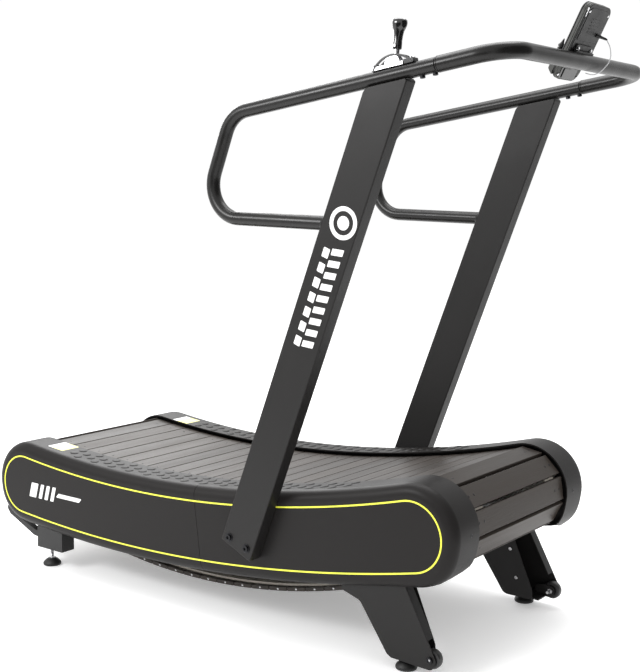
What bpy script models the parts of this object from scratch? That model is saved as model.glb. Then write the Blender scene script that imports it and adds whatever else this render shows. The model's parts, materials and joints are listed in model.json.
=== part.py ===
"""Curved manual treadmill: a slatted belt on two drums, between covered side rails and bent handrails.

Metres, +Z up, floor at z = 0, +X towards the console, +Y to the runner's left. The origin is on the
floor below the middle of the whole machine. Every moving piece has its origin on its joint's axis.
"""

import math

import bmesh
import bpy
from mathutils import Matrix, Vector

# ---- Driving dimensions -------------------------------------------------------------------------
GAP = 0.0003  # left wherever one piece is cut by, or rests on, another

# The running surface is one concave arc; both drums hang below it.
DECK_CENTRE = Vector((-0.3180, 0.0, 3.8468))
TREAD_RADIUS = 3.515
FRONT_DRUM_TILT = math.radians(15.07)  # angle of each drum from straight below the arc's centre
REAR_DRUM_TILT = math.radians(-7.17)
DRUM_RADIUS = 0.1003  # to the belt's outer face, which is the pitch line
RETURN_RADIUS = 1.970  # sag of the slack lower run

SLAT_COUNT = 55
UPPER_SLATS = 22
DRUM_SLATS = 5
SLAT_THICKNESS = 0.010
SLAT_HALF_LENGTH = 0.232
SLAT_GAP = 0.003
BELT_Y = 0.190  # each belt's middle
BELT_WIDTH = 0.050
BELT_THICKNESS = 0.006

COVER_CLEARANCE = 0.012  # foot rail above the slats
COVER_BOTTOM_RADIUS = 4.500
COVER_WALL = 0.0035
COVER_INNER_Y = 0.236
COVER_OUTER_Y = 0.3507
COVER_FILLET = 0.030
SEAM_X = -0.055  # joint between the rear and front covers
SEAM_LEAN = math.radians(8)

SIDE_RAIL_INSET = 0.035
SIDE_RAIL_Y = (0.246, 0.252)
ROLLER_TILTS = (-3.5, 1.0, 5.5, 10.0)  # degrees along the deck arc
ROLLER_RADIUS = 0.020
AXLE_RADIUS = 0.0125

UPRIGHT_LEAN = math.radians(20.69)
UPRIGHT_FOOT_X = -0.0214  # where the rear face's line meets the floor
UPRIGHT_DEPTH = 0.1018
UPRIGHT_Y = (0.3513, 0.3913)
UPRIGHT_WALL = 0.0025
UPRIGHT_CUT = ((0.0795, 0.239), (0.1765, 0.195))
UPRIGHT_BOLTS = ((0.0965, 0.252), (0.1545, 0.233))

RAIL_Y = 0.3713
RAIL_RADIUS = 0.0165
RAIL_WALL = 0.0020
RAIL_FRONT = (0.6875, 1.434)  # where the handrail meets the front bar
RAIL_SLOPE = math.atan(0.1554)
RAIL_LEG_OFFSET = 0.4235  # where the rear leg's line meets the floor, behind the origin
RAIL_LOW_Z = 1.079
RAIL_BEND = 0.085

BAR_RADIUS = 0.019
BAR_FRONT_X = 0.8625
BAR_BEND = 0.080
BAR_SPIGOT = 0.070
BAR_BOLTS_BACK = (0.008, 0.042)  # behind the collar

CONSOLE_LEAN = math.radians(23.6)
CONSOLE_BACK = Vector((0.8239, 0.0, 1.4615))
CONSOLE_HALF_WIDTH = 0.0515
CONSOLE_DEPTH = 0.033
CONSOLE_TOP = 0.148
CONSOLE_BOTTOM = -0.082

LEVER_PIVOT = Vector((0.576, -0.3713, 1.4462))
LEVER_TILT = math.radians(6)
LEVER_RADIUS = 0.0065
LEVER_KNOB_START = 0.031  # knob's ends, measured from the pivot
LEVER_KNOB_END = 0.101
GATE_HALF_LENGTH = 0.060
GATE_HEIGHT = 0.036
GATE_BAND = 0.005
GATE_HALF_WIDTH = 0.012
GATE_BASE = 0.009
GATE_CHEEK = 0.020

LEG_Y = ((0.2523, 0.2553), (0.3285, 0.3315))
WHEEL_CENTRE = (0.6745, 0.048)
WHEEL_RADIUS = 0.031
WHEEL_WIDTH = 0.028
WHEEL_Y = 0.297
FOOT_Y = 0.305
FRONT_FOOT_X = 0.5925
REAR_FOOT_X = -0.6945
FOOT_RADIUS = 0.027
STUD_RADIUS = 0.005
CROSS_TUBES = ((-0.560, 0.205), (-0.120, 0.205), (0.360, 0.265))  # (x, z) of each tube's middle
CROSS_TUBE_HALF = (0.030, 0.020)

BOLT_RADIUS = 0.005
BOSS_RADIUS = 0.014
CABLE_PORT_Z = 0.300
CABLE_TOP_X = 0.5345
CABLE_RADIUS = 0.0022
CABLE_PASSAGE = 0.004

FLYWHEEL_RADIUS = 0.085
FLYWHEEL_Y = (-0.304, -0.280)
MAGNET_REACH = 0.110
MAGNET_SPOKE = math.radians(130)  # direction of the magnet's shoe from the flywheel's middle
MAGNET_SPREAD = math.radians(16)
MAGNET_SHOE = (0.010, 0.022)  # the shoe's faces, off the flywheel's rim
MAGNET_Y = (-0.300, -0.284)

Y_AXIS = Vector((0, 1, 0))
SIDES = {"right": -1, "left": 1}


# ---- Worked-out places --------------------------------------------------------------------------
def below(centre, distance, tilt):
    """The point at a distance from a centre, tilted forward from straight below it."""
    return centre + Vector((math.sin(tilt), 0, -math.cos(tilt))) * distance


PITCH_RADIUS = TREAD_RADIUS + SLAT_THICKNESS
FRONT_DRUM = below(DECK_CENTRE, PITCH_RADIUS + DRUM_RADIUS, FRONT_DRUM_TILT)
REAR_DRUM = below(DECK_CENTRE, PITCH_RADIUS + DRUM_RADIUS, REAR_DRUM_TILT)
COVER_TOP_RADIUS = TREAD_RADIUS - COVER_CLEARANCE
COVER_END_RADIUS = DRUM_RADIUS + SLAT_THICKNESS + COVER_CLEARANCE


def centre_above_drums(distance):
    """The point that is this far from both drum centres, above them."""
    middle = (FRONT_DRUM + REAR_DRUM) / 2
    half = (FRONT_DRUM - REAR_DRUM) / 2
    rise = math.sqrt(distance**2 - half.length_squared)
    return middle + Vector((-half.z, 0, half.x)).normalized() * rise


RETURN_CENTRE = centre_above_drums(RETURN_RADIUS - DRUM_RADIUS)
COVER_BOTTOM_CENTRE = centre_above_drums(COVER_BOTTOM_RADIUS - COVER_END_RADIUS)


def angle_of(vector):
    """Angle of a vector in the XZ plane, anticlockwise from +X as seen from the machine's right."""
    return math.atan2(vector.z, vector.x)


def on_circle(centre, radius, angle):
    return centre + Vector((math.cos(angle), 0, math.sin(angle))) * radius


# ---- Materials ----------------------------------------------------------------------------------
def material(name, colour, metallic, roughness):
    made = bpy.data.materials.new(name)
    made.use_nodes = True
    made.diffuse_color = (*colour, 1)
    shader = made.node_tree.nodes["Principled BSDF"]
    shader.inputs["Base Color"].default_value = (*colour, 1)
    shader.inputs["Metallic"].default_value = metallic
    shader.inputs["Roughness"].default_value = roughness
    return made


def make_materials():
    return {
        "cover_plastic": material("cover_plastic", (0.045, 0.043, 0.044), 0.0, 0.45),
        "powder_coat": material("powder_coat", (0.050, 0.048, 0.048), 0.1, 0.42),
        "rail_coat": material("rail_coat", (0.022, 0.020, 0.020), 0.1, 0.32),
        "frame_steel": material("frame_steel", (0.030, 0.030, 0.032), 0.3, 0.50),
        "slat_rubber": material("slat_rubber", (0.110, 0.098, 0.090), 0.0, 0.75),
        "black_plastic": material("black_plastic", (0.018, 0.018, 0.018), 0.0, 0.45),
        "gloss_black": material("gloss_black", (0.010, 0.010, 0.010), 0.0, 0.12),
        "foot_rubber": material("foot_rubber", (0.020, 0.020, 0.020), 0.0, 0.80),
        "black_bolt": material("black_bolt", (0.020, 0.020, 0.022), 0.8, 0.35),
        "bright_steel": material("bright_steel", (0.600, 0.600, 0.610), 1.0, 0.28),
        "chrome": material("chrome", (0.800, 0.800, 0.810), 1.0, 0.08),
        "pulley_nylon": material("pulley_nylon", (0.550, 0.530, 0.500), 0.0, 0.50),
        "screen_glass": material("screen_glass", (0.060, 0.075, 0.070), 0.0, 0.10),
        "button_rubber": material("button_rubber", (0.350, 0.350, 0.360), 0.0, 0.60),
    }


# ---- Modelling helpers --------------------------------------------------------------------------
def clear_scene():
    for old in list(bpy.data.objects):
        bpy.data.objects.remove(old, do_unlink=True)


def finish_mesh(name, bm, finish=None, pivot=None, smooth=32):
    """Turns a bmesh in world space into an object whose origin is the pivot."""
    bmesh.ops.recalc_face_normals(bm, faces=bm.faces[:])
    if pivot is not None:
        bmesh.ops.translate(bm, verts=bm.verts[:], vec=-Vector(pivot))
    mesh = bpy.data.meshes.new(name)
    bm.to_mesh(mesh)
    bm.free()
    if smooth:
        mesh.shade_smooth()
        mesh.set_sharp_from_angle(angle=math.radians(smooth))
    made = bpy.data.objects.new(name, mesh)
    bpy.context.scene.collection.objects.link(made)
    if pivot is not None:
        made.location = pivot
    if finish:
        mesh.materials.append(finish)
    return made


def helper(name, bm):
    """An object that only shapes others through their Boolean modifiers."""
    made = finish_mesh(name, bm, smooth=0)
    made.hide_render = True
    made.display_type = "WIRE"
    return made


def boolean(target, other, operation):
    modifier = target.modifiers.new(f"{operation.lower()} {other.name}", "BOOLEAN")
    modifier.operation = operation
    modifier.object = other


def add_prism(bm, outline, y_from, y_to):
    """A closed outline of (x, z) points, extruded along Y."""
    near = [bm.verts.new((x, y_from, z)) for x, z in outline]
    far = [bm.verts.new((x, y_to, z)) for x, z in outline]
    bm.faces.new(near)
    bm.faces.new(far)
    for i in range(len(outline)):
        j = (i + 1) % len(outline)
        bm.faces.new((near[i], near[j], far[j], far[i]))


def add_box(bm, low, high):
    corners = [(low[0], low[2]), (high[0], low[2]), (high[0], high[2]), (low[0], high[2])]
    add_prism(bm, corners, low[1], high[1])


def add_turned(bm, profile, centre, axis=Y_AXIS, segments=24):
    """Turns (radius, height) points about an axis. Points at radius 0 close the ends; else it's a ring."""
    axis = Vector(axis).normalized()
    across = axis.orthogonal().normalized()
    other = axis.cross(across)
    rings = []
    for radius, height in profile:
        middle = Vector(centre) + axis * height
        if radius == 0:
            rings.append([bm.verts.new(middle)] * segments)
            continue
        turns = (math.tau * k / segments for k in range(segments))
        spokes = (across * math.cos(t) + other * math.sin(t) for t in turns)
        rings.append([bm.verts.new(middle + spoke * radius) for spoke in spokes])
    if profile[0][0] != 0:
        rings.append(rings[0])
    for first, second in zip(rings, rings[1:]):
        for k in range(segments):
            n = (k + 1) % segments
            corners = dict.fromkeys((first[k], first[n], second[n], second[k]))
            if len(corners) > 2:
                bm.faces.new(list(corners))


def turned(profile, centre, axis=Y_AXIS, segments=24):
    bm = bmesh.new()
    add_turned(bm, profile, centre, axis, segments)
    return bm


def rod_profile(radius, start, end):
    return [(0, start), (radius, start), (radius, end), (0, end)]


def ring_profile(outer, inner, start, end):
    return [(outer, start), (outer, end), (inner, end), (inner, start)]


def bent_path(corners, bend, steps=4):
    """(point, direction) stations along straight runs joined by bends of one radius."""
    heading = (corners[1] - corners[0]).normalized()
    stations = [(corners[0], heading)]
    for before, corner, after in zip(corners, corners[1:], corners[2:]):
        heading = (corner - before).normalized()
        leaving = (after - corner).normalized()
        turn = heading.angle(leaving)
        inward = (leaving - heading * heading.dot(leaving)).normalized()
        start = corner - heading * bend * math.tan(turn / 2)
        for k in range(steps + 1):
            t = turn * k / steps
            point = start + heading * bend * math.sin(t) + inward * bend * (1 - math.cos(t))
            stations.append((point, heading * math.cos(t) + inward * math.sin(t)))
        heading = leaving
    stations.append((corners[-1], heading))
    return stations


def tube(stations, sizes, flat_normal, segments=12, trim=None):
    """A hollow bent tube with open ends. sizes holds (outer, inner) radii, one pair per station.

    flat_normal is square to the plane that the tube bends in. trim is a (point, normal) plane that the
    last ring is slid onto, for a mitred end.
    """
    bm = bmesh.new()
    rings = []
    for index, ((point, heading), radii) in enumerate(zip(stations, sizes)):
        other = flat_normal.cross(heading).normalized()
        pair = []
        for radius in radii:
            ring = []
            for k in range(segments):
                t = math.tau * k / segments
                place = point + (flat_normal * math.cos(t) + other * math.sin(t)) * radius
                if trim and index == len(stations) - 1:
                    place += heading * (trim[0] - place).dot(trim[1]) / heading.dot(trim[1])
                ring.append(bm.verts.new(place))
            pair.append(ring)
        rings.append(pair)
    for skin in (0, 1):
        for first, second in zip(rings, rings[1:]):
            bridge(bm, first[skin], second[skin])
    bridge(bm, rings[0][0], rings[0][1])
    bridge(bm, rings[-1][0], rings[-1][1])
    return bm


def bridge(bm, first, second):
    for k in range(len(first)):
        n = (k + 1) % len(first)
        bm.faces.new((first[k], first[n], second[n], second[k]))


def bolt(name, centre, axis, head, shank, finish):
    """A bolt: head is (radius, height) above centre, shank is (radius, length) below it."""
    profile = [
        (0, -shank[1]),
        (shank[0], -shank[1]),
        (shank[0], 0),
        (head[0], 0),
        (head[0], head[1]),
        (0, head[1]),
    ]
    return finish_mesh(name, turned(profile, centre, axis, 8), finish)


# ---- Banana outline shared by the covers and the side rails ---------------------------------------
TOP_STEPS = 14
END_STEPS = 9


def arc(centre, radius, start, end, steps):
    """Points from start up to, but not including, end."""
    angles = (start + (end - start) * k / steps for k in range(steps))
    return [on_circle(centre, radius, a) for a in angles]


def banana(inset, long_steps=TOP_STEPS, end_steps=END_STEPS):
    """The closed side-view outline, this far inside the covers' outer line: top, front, bottom, rear."""
    end_radius = COVER_END_RADIUS - inset
    top_front = angle_of(DECK_CENTRE - FRONT_DRUM)
    top_rear = angle_of(DECK_CENTRE - REAR_DRUM)
    low_front = angle_of(FRONT_DRUM - COVER_BOTTOM_CENTRE)
    low_rear = angle_of(REAR_DRUM - COVER_BOTTOM_CENTRE)
    points = arc(
        DECK_CENTRE, COVER_TOP_RADIUS + inset, top_rear - math.pi, top_front - math.pi, long_steps
    )
    points += arc(FRONT_DRUM, end_radius, top_front, low_front, end_steps)
    points += arc(COVER_BOTTOM_CENTRE, COVER_BOTTOM_RADIUS - inset, low_front, low_rear, long_steps)
    points += arc(REAR_DRUM, end_radius, low_rear + math.tau, top_rear, end_steps)
    return points


# ---- Covers -------------------------------------------------------------------------------------
TOP_ROWS = (0, 1, 1.25, 1.5, 1.75, 2)  # 0 to 1 crosses the foot rail, 1 to 2 rounds the outer edge
LOW_ROWS = (1.33, 1.46, 1.6, 1.73, 1.87, 2)  # below, only the rounded edge is left


def cover_section(row, wall):
    """(y, inset) of a point on the cover's cross-section; wall is 0 outside, COVER_WALL inside."""
    fillet = COVER_FILLET - wall
    centre_y = COVER_OUTER_Y - COVER_FILLET
    if row <= 1:
        return COVER_INNER_Y + (centre_y - COVER_INNER_Y) * row, wall
    turn = (row - 1) * math.pi / 2
    return centre_y + fillet * math.sin(turn), COVER_FILLET - fillet * math.cos(turn)


def openness(point):
    """0 where the cover wraps right over the belt, 1 along the open underside."""
    if point.z > FRONT_DRUM.z:
        return 0
    drum = FRONT_DRUM if point.x > 0 else REAR_DRUM
    outward = abs(point.x) - abs(drum.x)
    drop = math.degrees(math.atan2(drum.z - point.z, max(outward, 1e-6)))
    blend = min(max((drop - 40) / 28, 0), 1)
    return blend * blend * (3 - 2 * blend)


def cover_shell(sign):
    """One side's whole cover as a closed thin shell, before it is cut at the seam."""
    bm = bmesh.new()
    outline = banana(0)
    skins = []
    for wall in (0, COVER_WALL):
        columns = []
        for index, reference in enumerate(outline):
            share = 0 if index <= TOP_STEPS else openness(reference)
            column = []
            for top, low in zip(TOP_ROWS, LOW_ROWS):
                y, inset = cover_section(top + (low - top) * share, wall)
                point = banana(inset)[index]
                column.append(bm.verts.new((point.x, sign * y, point.z)))
            columns.append(column)
        skins.append(columns)
        bm.faces.new([column[-1] for column in columns])
        for first, second in zip(columns, columns[1:] + columns[:1]):
            for low, high in zip(range(len(first) - 1), range(1, len(first))):
                bm.faces.new((first[low], second[low], second[high], first[high]))
    edges = [[column[0] for column in columns] for columns in skins]
    bridge(bm, *edges)
    return bm


def cut_off(bm, point, normal):
    """Removes what lies on the normal's side of a plane and closes the cut."""
    everything = bm.verts[:] + bm.edges[:] + bm.faces[:]
    bmesh.ops.bisect_plane(
        bm, geom=everything, dist=1e-6, plane_co=point, plane_no=normal, clear_outer=True
    )
    rim = [edge for edge in bm.edges if len(edge.link_faces) == 1]
    bmesh.ops.triangle_fill(bm, edges=rim, use_beauty=True)


def make_covers(mats, holes):
    seam_z = 0.25
    along = Vector((math.cos(SEAM_LEAN), 0, math.sin(SEAM_LEAN)))
    for side, sign in SIDES.items():
        for end, facing in (("rear", 1), ("front", -1)):
            bm = cover_shell(sign)
            bmesh.ops.recalc_face_normals(bm, faces=bm.faces[:])
            start = Vector((SEAM_X, 0, seam_z)) - along * facing * 0.0005
            cut_off(bm, start, along * facing)
            cover = finish_mesh(f"side_cover_{end}_{side}", bm, mats["cover_plastic"])
            if end == "front":
                boolean(cover, holes[side], "DIFFERENCE")


# ---- Welded base frame --------------------------------------------------------------------------
def make_hole_cutters():
    """Clearance holes for each side's upright bolts, and the brake cable's port on the right."""
    holes = {}
    for side, sign in SIDES.items():
        bm = bmesh.new()
        for x, z in UPRIGHT_BOLTS:
            ends = sorted((sign * 0.240, sign * 0.400))
            add_turned(bm, rod_profile(BOLT_RADIUS + GAP * 2, *ends), (x, 0, z), segments=12)
        if side == "right":
            ends = (-COVER_OUTER_Y - 0.0093, -COVER_OUTER_Y + 0.0107)
            add_turned(bm, rod_profile(CABLE_PASSAGE + 0.002, *ends), cable_port(), segments=10)
        holes[side] = helper(f"bolt_holes_{side}", bm)
    return holes


def cable_port():
    """Where the brake cable leaves the right upright, on its middle line."""
    across = UPRIGHT_DEPTH / math.cos(UPRIGHT_LEAN)
    x = UPRIGHT_FOOT_X + CABLE_PORT_Z * math.tan(UPRIGHT_LEAN) + across / 2
    return Vector((x, 0, CABLE_PORT_Z))


def side_rail(bm, sign):
    outline = [(p.x, p.z) for p in banana(SIDE_RAIL_INSET, 12, 7)]
    add_prism(bm, outline, *(sign * y for y in SIDE_RAIL_Y))


def roller_centres():
    distance = PITCH_RADIUS + BELT_THICKNESS + GAP + ROLLER_RADIUS
    return [below(DECK_CENTRE, distance, math.radians(tilt)) for tilt in ROLLER_TILTS]


def magnet_pivot():
    """The arm's pivot, so that its shoe meets the flywheel squarely."""
    return magnet_shoe() + Vector((-math.sin(MAGNET_SPOKE), 0, math.cos(MAGNET_SPOKE))) * MAGNET_REACH


def magnet_shoe():
    return on_circle(FRONT_DRUM, FLYWHEEL_RADIUS + sum(MAGNET_SHOE) / 2, MAGNET_SPOKE)


def make_base_frame(mats, holes):
    bm = bmesh.new()
    side_rail(bm, -1)
    frame = finish_mesh("base_frame", bm, mats["frame_steel"], smooth=20)
    pieces = []
    bm = bmesh.new()
    side_rail(bm, 1)
    pieces.append(helper("side_rail_left", bm))
    overlap = 0.002
    reach = SIDE_RAIL_Y[0] + overlap
    half_x, half_z = CROSS_TUBE_HALF
    for number, (x, z) in enumerate(CROSS_TUBES, 1):
        bm = bmesh.new()
        add_box(bm, (x - half_x, -reach, z - half_z), (x + half_x, reach, z + half_z))
        pieces.append(helper(f"cross_tube_{number}", bm))
    for side, sign in SIDES.items():
        inner = sign * (SIDE_RAIL_Y[1] - overlap)
        bm = bmesh.new()
        for x, z in UPRIGHT_BOLTS:
            ends = sorted((inner, sign * (COVER_OUTER_Y - COVER_WALL - GAP)))
            add_turned(bm, rod_profile(BOSS_RADIUS, *ends), (x, 0, z), segments=16)
        if side == "right":
            add_turned(bm, rod_profile(0.0055, FLYWHEEL_Y[0], inner), magnet_pivot(), segments=14)
        pieces.append(helper(f"bosses_{side}", bm))
        bm = bmesh.new()
        gusset = sorted((inner, sign * 0.300))
        add_box(bm, (REAR_FOOT_X - 0.040, gusset[0], 0.100), (REAR_FOOT_X + 0.040, gusset[1], 0.185))
        pieces.append(helper(f"rear_gusset_{side}", bm))
        bm = bmesh.new()
        shoe = sorted((sign * 0.284, sign * 0.3315))
        add_box(bm, (REAR_FOOT_X - 0.035, shoe[0], 0.056), (REAR_FOOT_X + 0.075, shoe[1], 0.140))
        pieces.append(helper(f"rear_bracket_{side}", bm))
    for piece in pieces:
        boolean(frame, piece, "UNION")
    bm = bmesh.new()
    for centre in (FRONT_DRUM, REAR_DRUM):
        add_turned(bm, rod_profile(AXLE_RADIUS + 0.002, -0.260, 0.260), centre, segments=20)
    for centre in roller_centres():
        add_turned(bm, rod_profile(0.0065, -0.260, 0.260), centre, segments=12)
    for sign in SIDES.values():
        foot = (REAR_FOOT_X, sign * FOOT_Y, 0)
        add_turned(bm, rod_profile(STUD_RADIUS + 0.0005, 0.050, 0.092), foot, (0, 0, 1), 12)
    boolean(frame, helper("frame_bores", bm), "DIFFERENCE")
    for side in SIDES:
        boolean(frame, holes[side], "DIFFERENCE")


def make_front_legs(mats):
    """A folded-plate leg each side: two outlined plates, a web behind them and a foot plate."""
    outer_top = 0.245
    inner_plate = [
        (0.436, 0.300),
        (0.4195, 0.166),
        (0.4755, 0.153),
        (0.5585, 0.036),
        (0.5760, 0.030),
        (0.6865, 0.0295),
        (0.6960, 0.038),
        (0.6975, 0.052),
        (0.6875, 0.069),
        (0.6115, 0.216),
        (0.5750, 0.300),
    ]
    outer_plate = [(0.4195, outer_top), *inner_plate[1:-1], (0.5965, outer_top)]
    web = [(0.4795, 0.1560), (0.5620, 0.0395), (0.5590, 0.0360), (0.4755, 0.1530)]
    foot_plate = [(0.5600, 0.0305), (0.6360, 0.0300), (0.6360, 0.0345), (0.5600, 0.0345)]
    for side, sign in SIDES.items():
        bm = bmesh.new()
        inner, outer = (tuple(sign * y for y in pair) for pair in LEG_Y)
        add_prism(bm, inner_plate, *inner)
        leg = finish_mesh(f"front_leg_{side}", bm, mats["powder_coat"], smooth=20)
        whole = (inner[0], outer[1])
        plates = (
            ("outer_plate", outer_plate, outer),
            ("web", web, whole),
            ("foot_plate", foot_plate, whole),
        )
        for name, shape, span in plates:
            bm = bmesh.new()
            add_prism(bm, shape, *span)
            boolean(leg, helper(f"leg_{name}_{side}", bm), "UNION")
        bm = bmesh.new()
        x, z = WHEEL_CENTRE
        ends = sorted((sign * 0.245, sign * 0.340))
        add_turned(bm, rod_profile(0.0045, *ends), (x, 0, z), segments=12)
        foot = (FRONT_FOOT_X, sign * FOOT_Y, 0)
        add_turned(bm, rod_profile(STUD_RADIUS + 0.0005, 0.020, 0.050), foot, (0, 0, 1), 12)
        boolean(leg, helper(f"leg_holes_{side}", bm), "DIFFERENCE")


# ---- Wheels and feet ----------------------------------------------------------------------------
def make_wheels(mats):
    x, z = WHEEL_CENTRE
    for side, sign in SIDES.items():
        bm = bmesh.new()
        middle = (x, sign * WHEEL_Y, z)
        half, rim = WHEEL_WIDTH / 2, WHEEL_RADIUS
        profile = [
            (0.0047, -half), (rim - 0.004, -half), (rim, -half + 0.004),
            (rim, half - 0.004), (rim - 0.004, half), (0.0047, half),
        ]
        add_turned(bm, profile, middle, segments=16)
        finish_mesh(f"transport_wheel_{side}", bm, mats["black_plastic"], pivot=middle)
        outside = (x, sign * (LEG_Y[1][1] + GAP), z)
        bolt(f"wheel_axle_{side}", outside, (0, sign, 0), (0.0085, 0.005), (0.0040, 0.088),
             mats["bright_steel"])


def make_feet(mats):
    for end, x, stud_top in (("front", FRONT_FOOT_X, 0.046), ("rear", REAR_FOOT_X, 0.080)):
        for side, sign in SIDES.items():
            place = (x, sign * FOOT_Y, 0)
            profile = [
                (0, 0), (FOOT_RADIUS, 0), (FOOT_RADIUS, 0.010), (0.012, 0.018),
                (STUD_RADIUS, 0.018), (STUD_RADIUS, stud_top), (0, stud_top),
            ]
            bm = turned(profile, place, (0, 0, 1), 12)
            finish_mesh(f"{end}_foot_{side}", bm, mats["foot_rubber"], pivot=place)


# ---- Belt drive ---------------------------------------------------------------------------------
def belt_runs():
    """The pitch line as four arcs, in running order: (centre, radius, start angle, end angle)."""
    top_front = angle_of(DECK_CENTRE - FRONT_DRUM)
    top_rear = angle_of(DECK_CENTRE - REAR_DRUM)
    low_front = angle_of(FRONT_DRUM - RETURN_CENTRE)
    low_rear = angle_of(REAR_DRUM - RETURN_CENTRE)
    return [
        (DECK_CENTRE, PITCH_RADIUS, top_front - math.pi, top_rear - math.pi),
        (REAR_DRUM, DRUM_RADIUS, top_rear, low_rear + math.tau),
        (RETURN_CENTRE, RETURN_RADIUS, low_rear, low_front),
        (FRONT_DRUM, DRUM_RADIUS, low_front, top_front),
    ]


def run_lengths():
    return [radius * abs(end - start) for _, radius, start, end in belt_runs()]


def slat_pitch():
    return sum(run_lengths()) / SLAT_COUNT


def on_run(run, distance):
    """(point, outward direction) at a distance along one arc, which may run on past its ends."""
    centre, radius, start, end = belt_runs()[run]
    angle = start + math.copysign(1 / radius, end - start) * distance
    outward = Vector((math.cos(angle), 0, math.sin(angle)))
    return centre + outward * radius, -outward if run == 0 else outward


def belt_group(bm_slats, bm_belts, run, first, count):
    """Slats and belt strips carried rigidly by one run; first is where its first slat begins."""
    pitch = slat_pitch()
    half_width = (pitch - SLAT_GAP) / 2
    for k in range(count):
        point, outward = on_run(run, first + (k + 0.5) * pitch)
        along = Vector((outward.z, 0, -outward.x))
        corners = (
            point - along * half_width,
            point + along * half_width,
            point + along * half_width + outward * SLAT_THICKNESS,
            point - along * half_width + outward * SLAT_THICKNESS,
        )
        add_prism(bm_slats, [(c.x, c.z) for c in corners], -SLAT_HALF_LENGTH, SLAT_HALF_LENGTH)
    steps = count * (3 if run in (1, 3) else 1)
    outer, inner = [], []
    for k in range(steps + 1):
        inside = SLAT_GAP / 2
        distance = first + inside + (count * pitch - SLAT_GAP) * k / steps
        point, outward = on_run(run, distance)
        outer.append(point + outward * 0.001)
        inner.append(point - outward * BELT_THICKNESS)
    outline = [(p.x, p.z) for p in outer + inner[::-1]]
    for sign in SIDES.values():
        edges = (sign * BELT_Y - BELT_WIDTH / 2, sign * BELT_Y + BELT_WIDTH / 2)
        add_prism(bm_belts, outline, *edges)


def make_slat_belt(mats):
    """The belt in four rigid groups, split where it meets and leaves each drum."""
    pitch = slat_pitch()
    upper, wrap, lower, _ = run_lengths()
    overhang = (UPPER_SLATS * pitch - upper) / 2
    lower_slats = SLAT_COUNT - UPPER_SLATS - 2 * DRUM_SLATS
    low_start = (lower - lower_slats * pitch) / 2
    groups = (
        ("slat_belt_upper", 0, -overhang, UPPER_SLATS, DECK_CENTRE),
        ("slat_belt_rear", 1, overhang, DRUM_SLATS, REAR_DRUM),
        ("slat_belt_lower", 2, low_start, lower_slats, RETURN_CENTRE),
        ("slat_belt_front", 3, wrap - overhang - DRUM_SLATS * pitch, DRUM_SLATS, FRONT_DRUM),
    )
    for name, run, first, count, pivot in groups:
        slats, belts = bmesh.new(), bmesh.new()
        belt_group(slats, belts, run, first, count)
        group = finish_mesh(name, slats, mats["slat_rubber"], pivot=pivot, smooth=0)
        boolean(group, helper(f"{name}_strips", belts), "UNION")


def make_drums(mats):
    bearing_start = SIDE_RAIL_Y[1] + 0.0005
    axle_end = 0.282
    drums = (
        ("front", FRONT_DRUM, FLYWHEEL_Y[0] - 0.008),
        ("rear", REAR_DRUM, -axle_end),
    )
    for end, centre, axle_start in drums:
        axle = turned(rod_profile(AXLE_RADIUS, axle_start, axle_end), centre, segments=16)
        finish_mesh(f"{end}_axle", axle, mats["bright_steel"], pivot=centre)
        for side, sign in SIDES.items():
            middle = centre + Y_AXIS * sign * BELT_Y
            rim = DRUM_RADIUS - BELT_THICKNESS - 0.001
            half = BELT_WIDTH / 2
            bore = AXLE_RADIUS + GAP
            profile = [
                (bore, -half), (0.030, -half), (0.034, -half / 2), (rim - 0.012, -half / 2),
                (rim - 0.008, -half), (rim, -half), (rim, half), (bore, half),
            ]
            pulley = turned(profile, middle, Y_AXIS * sign, 16)
            finish_mesh(f"{end}_pulley_{side}", pulley, mats["pulley_nylon"], pivot=middle)
            housing = sorted((sign * bearing_start, sign * (bearing_start + 0.022)))
            ring = turned(ring_profile(0.034, bore, *housing), centre, segments=16)
            finish_mesh(f"{end}_bearing_{side}", ring, mats["frame_steel"])


def make_support_rollers(mats):
    for number, centre in enumerate(roller_centres(), 1):
        half = BELT_WIDTH / 2 - 0.008
        end = SIDE_RAIL_Y[1] - 0.001
        inner, outer = BELT_Y - half, BELT_Y + half
        profile = [
            (0, -end), (0.006, -end), (0.006, -outer), (ROLLER_RADIUS, -outer), (ROLLER_RADIUS, -inner),
            (0.006, -inner), (0.006, inner), (ROLLER_RADIUS, inner), (ROLLER_RADIUS, outer),
            (0.006, outer), (0.006, end), (0, end),
        ]
        roller = turned(profile, centre, segments=10)
        finish_mesh(f"support_roller_{number}", roller, mats["bright_steel"], pivot=centre)


# ---- Resistance ---------------------------------------------------------------------------------
def make_flywheel(mats):
    outside, inside = FLYWHEEL_Y
    web = outside + 0.008
    bore, rim = AXLE_RADIUS + GAP, FLYWHEEL_RADIUS
    profile = [
        (bore, outside), (0.026, outside), (0.028, web), (rim - 0.016, web), (rim - 0.014, outside),
        (rim, outside), (rim, inside), (bore, inside),
    ]
    wheel = turned(profile, FRONT_DRUM, segments=24)
    finish_mesh("flywheel", wheel, mats["bright_steel"], pivot=FRONT_DRUM)


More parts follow.
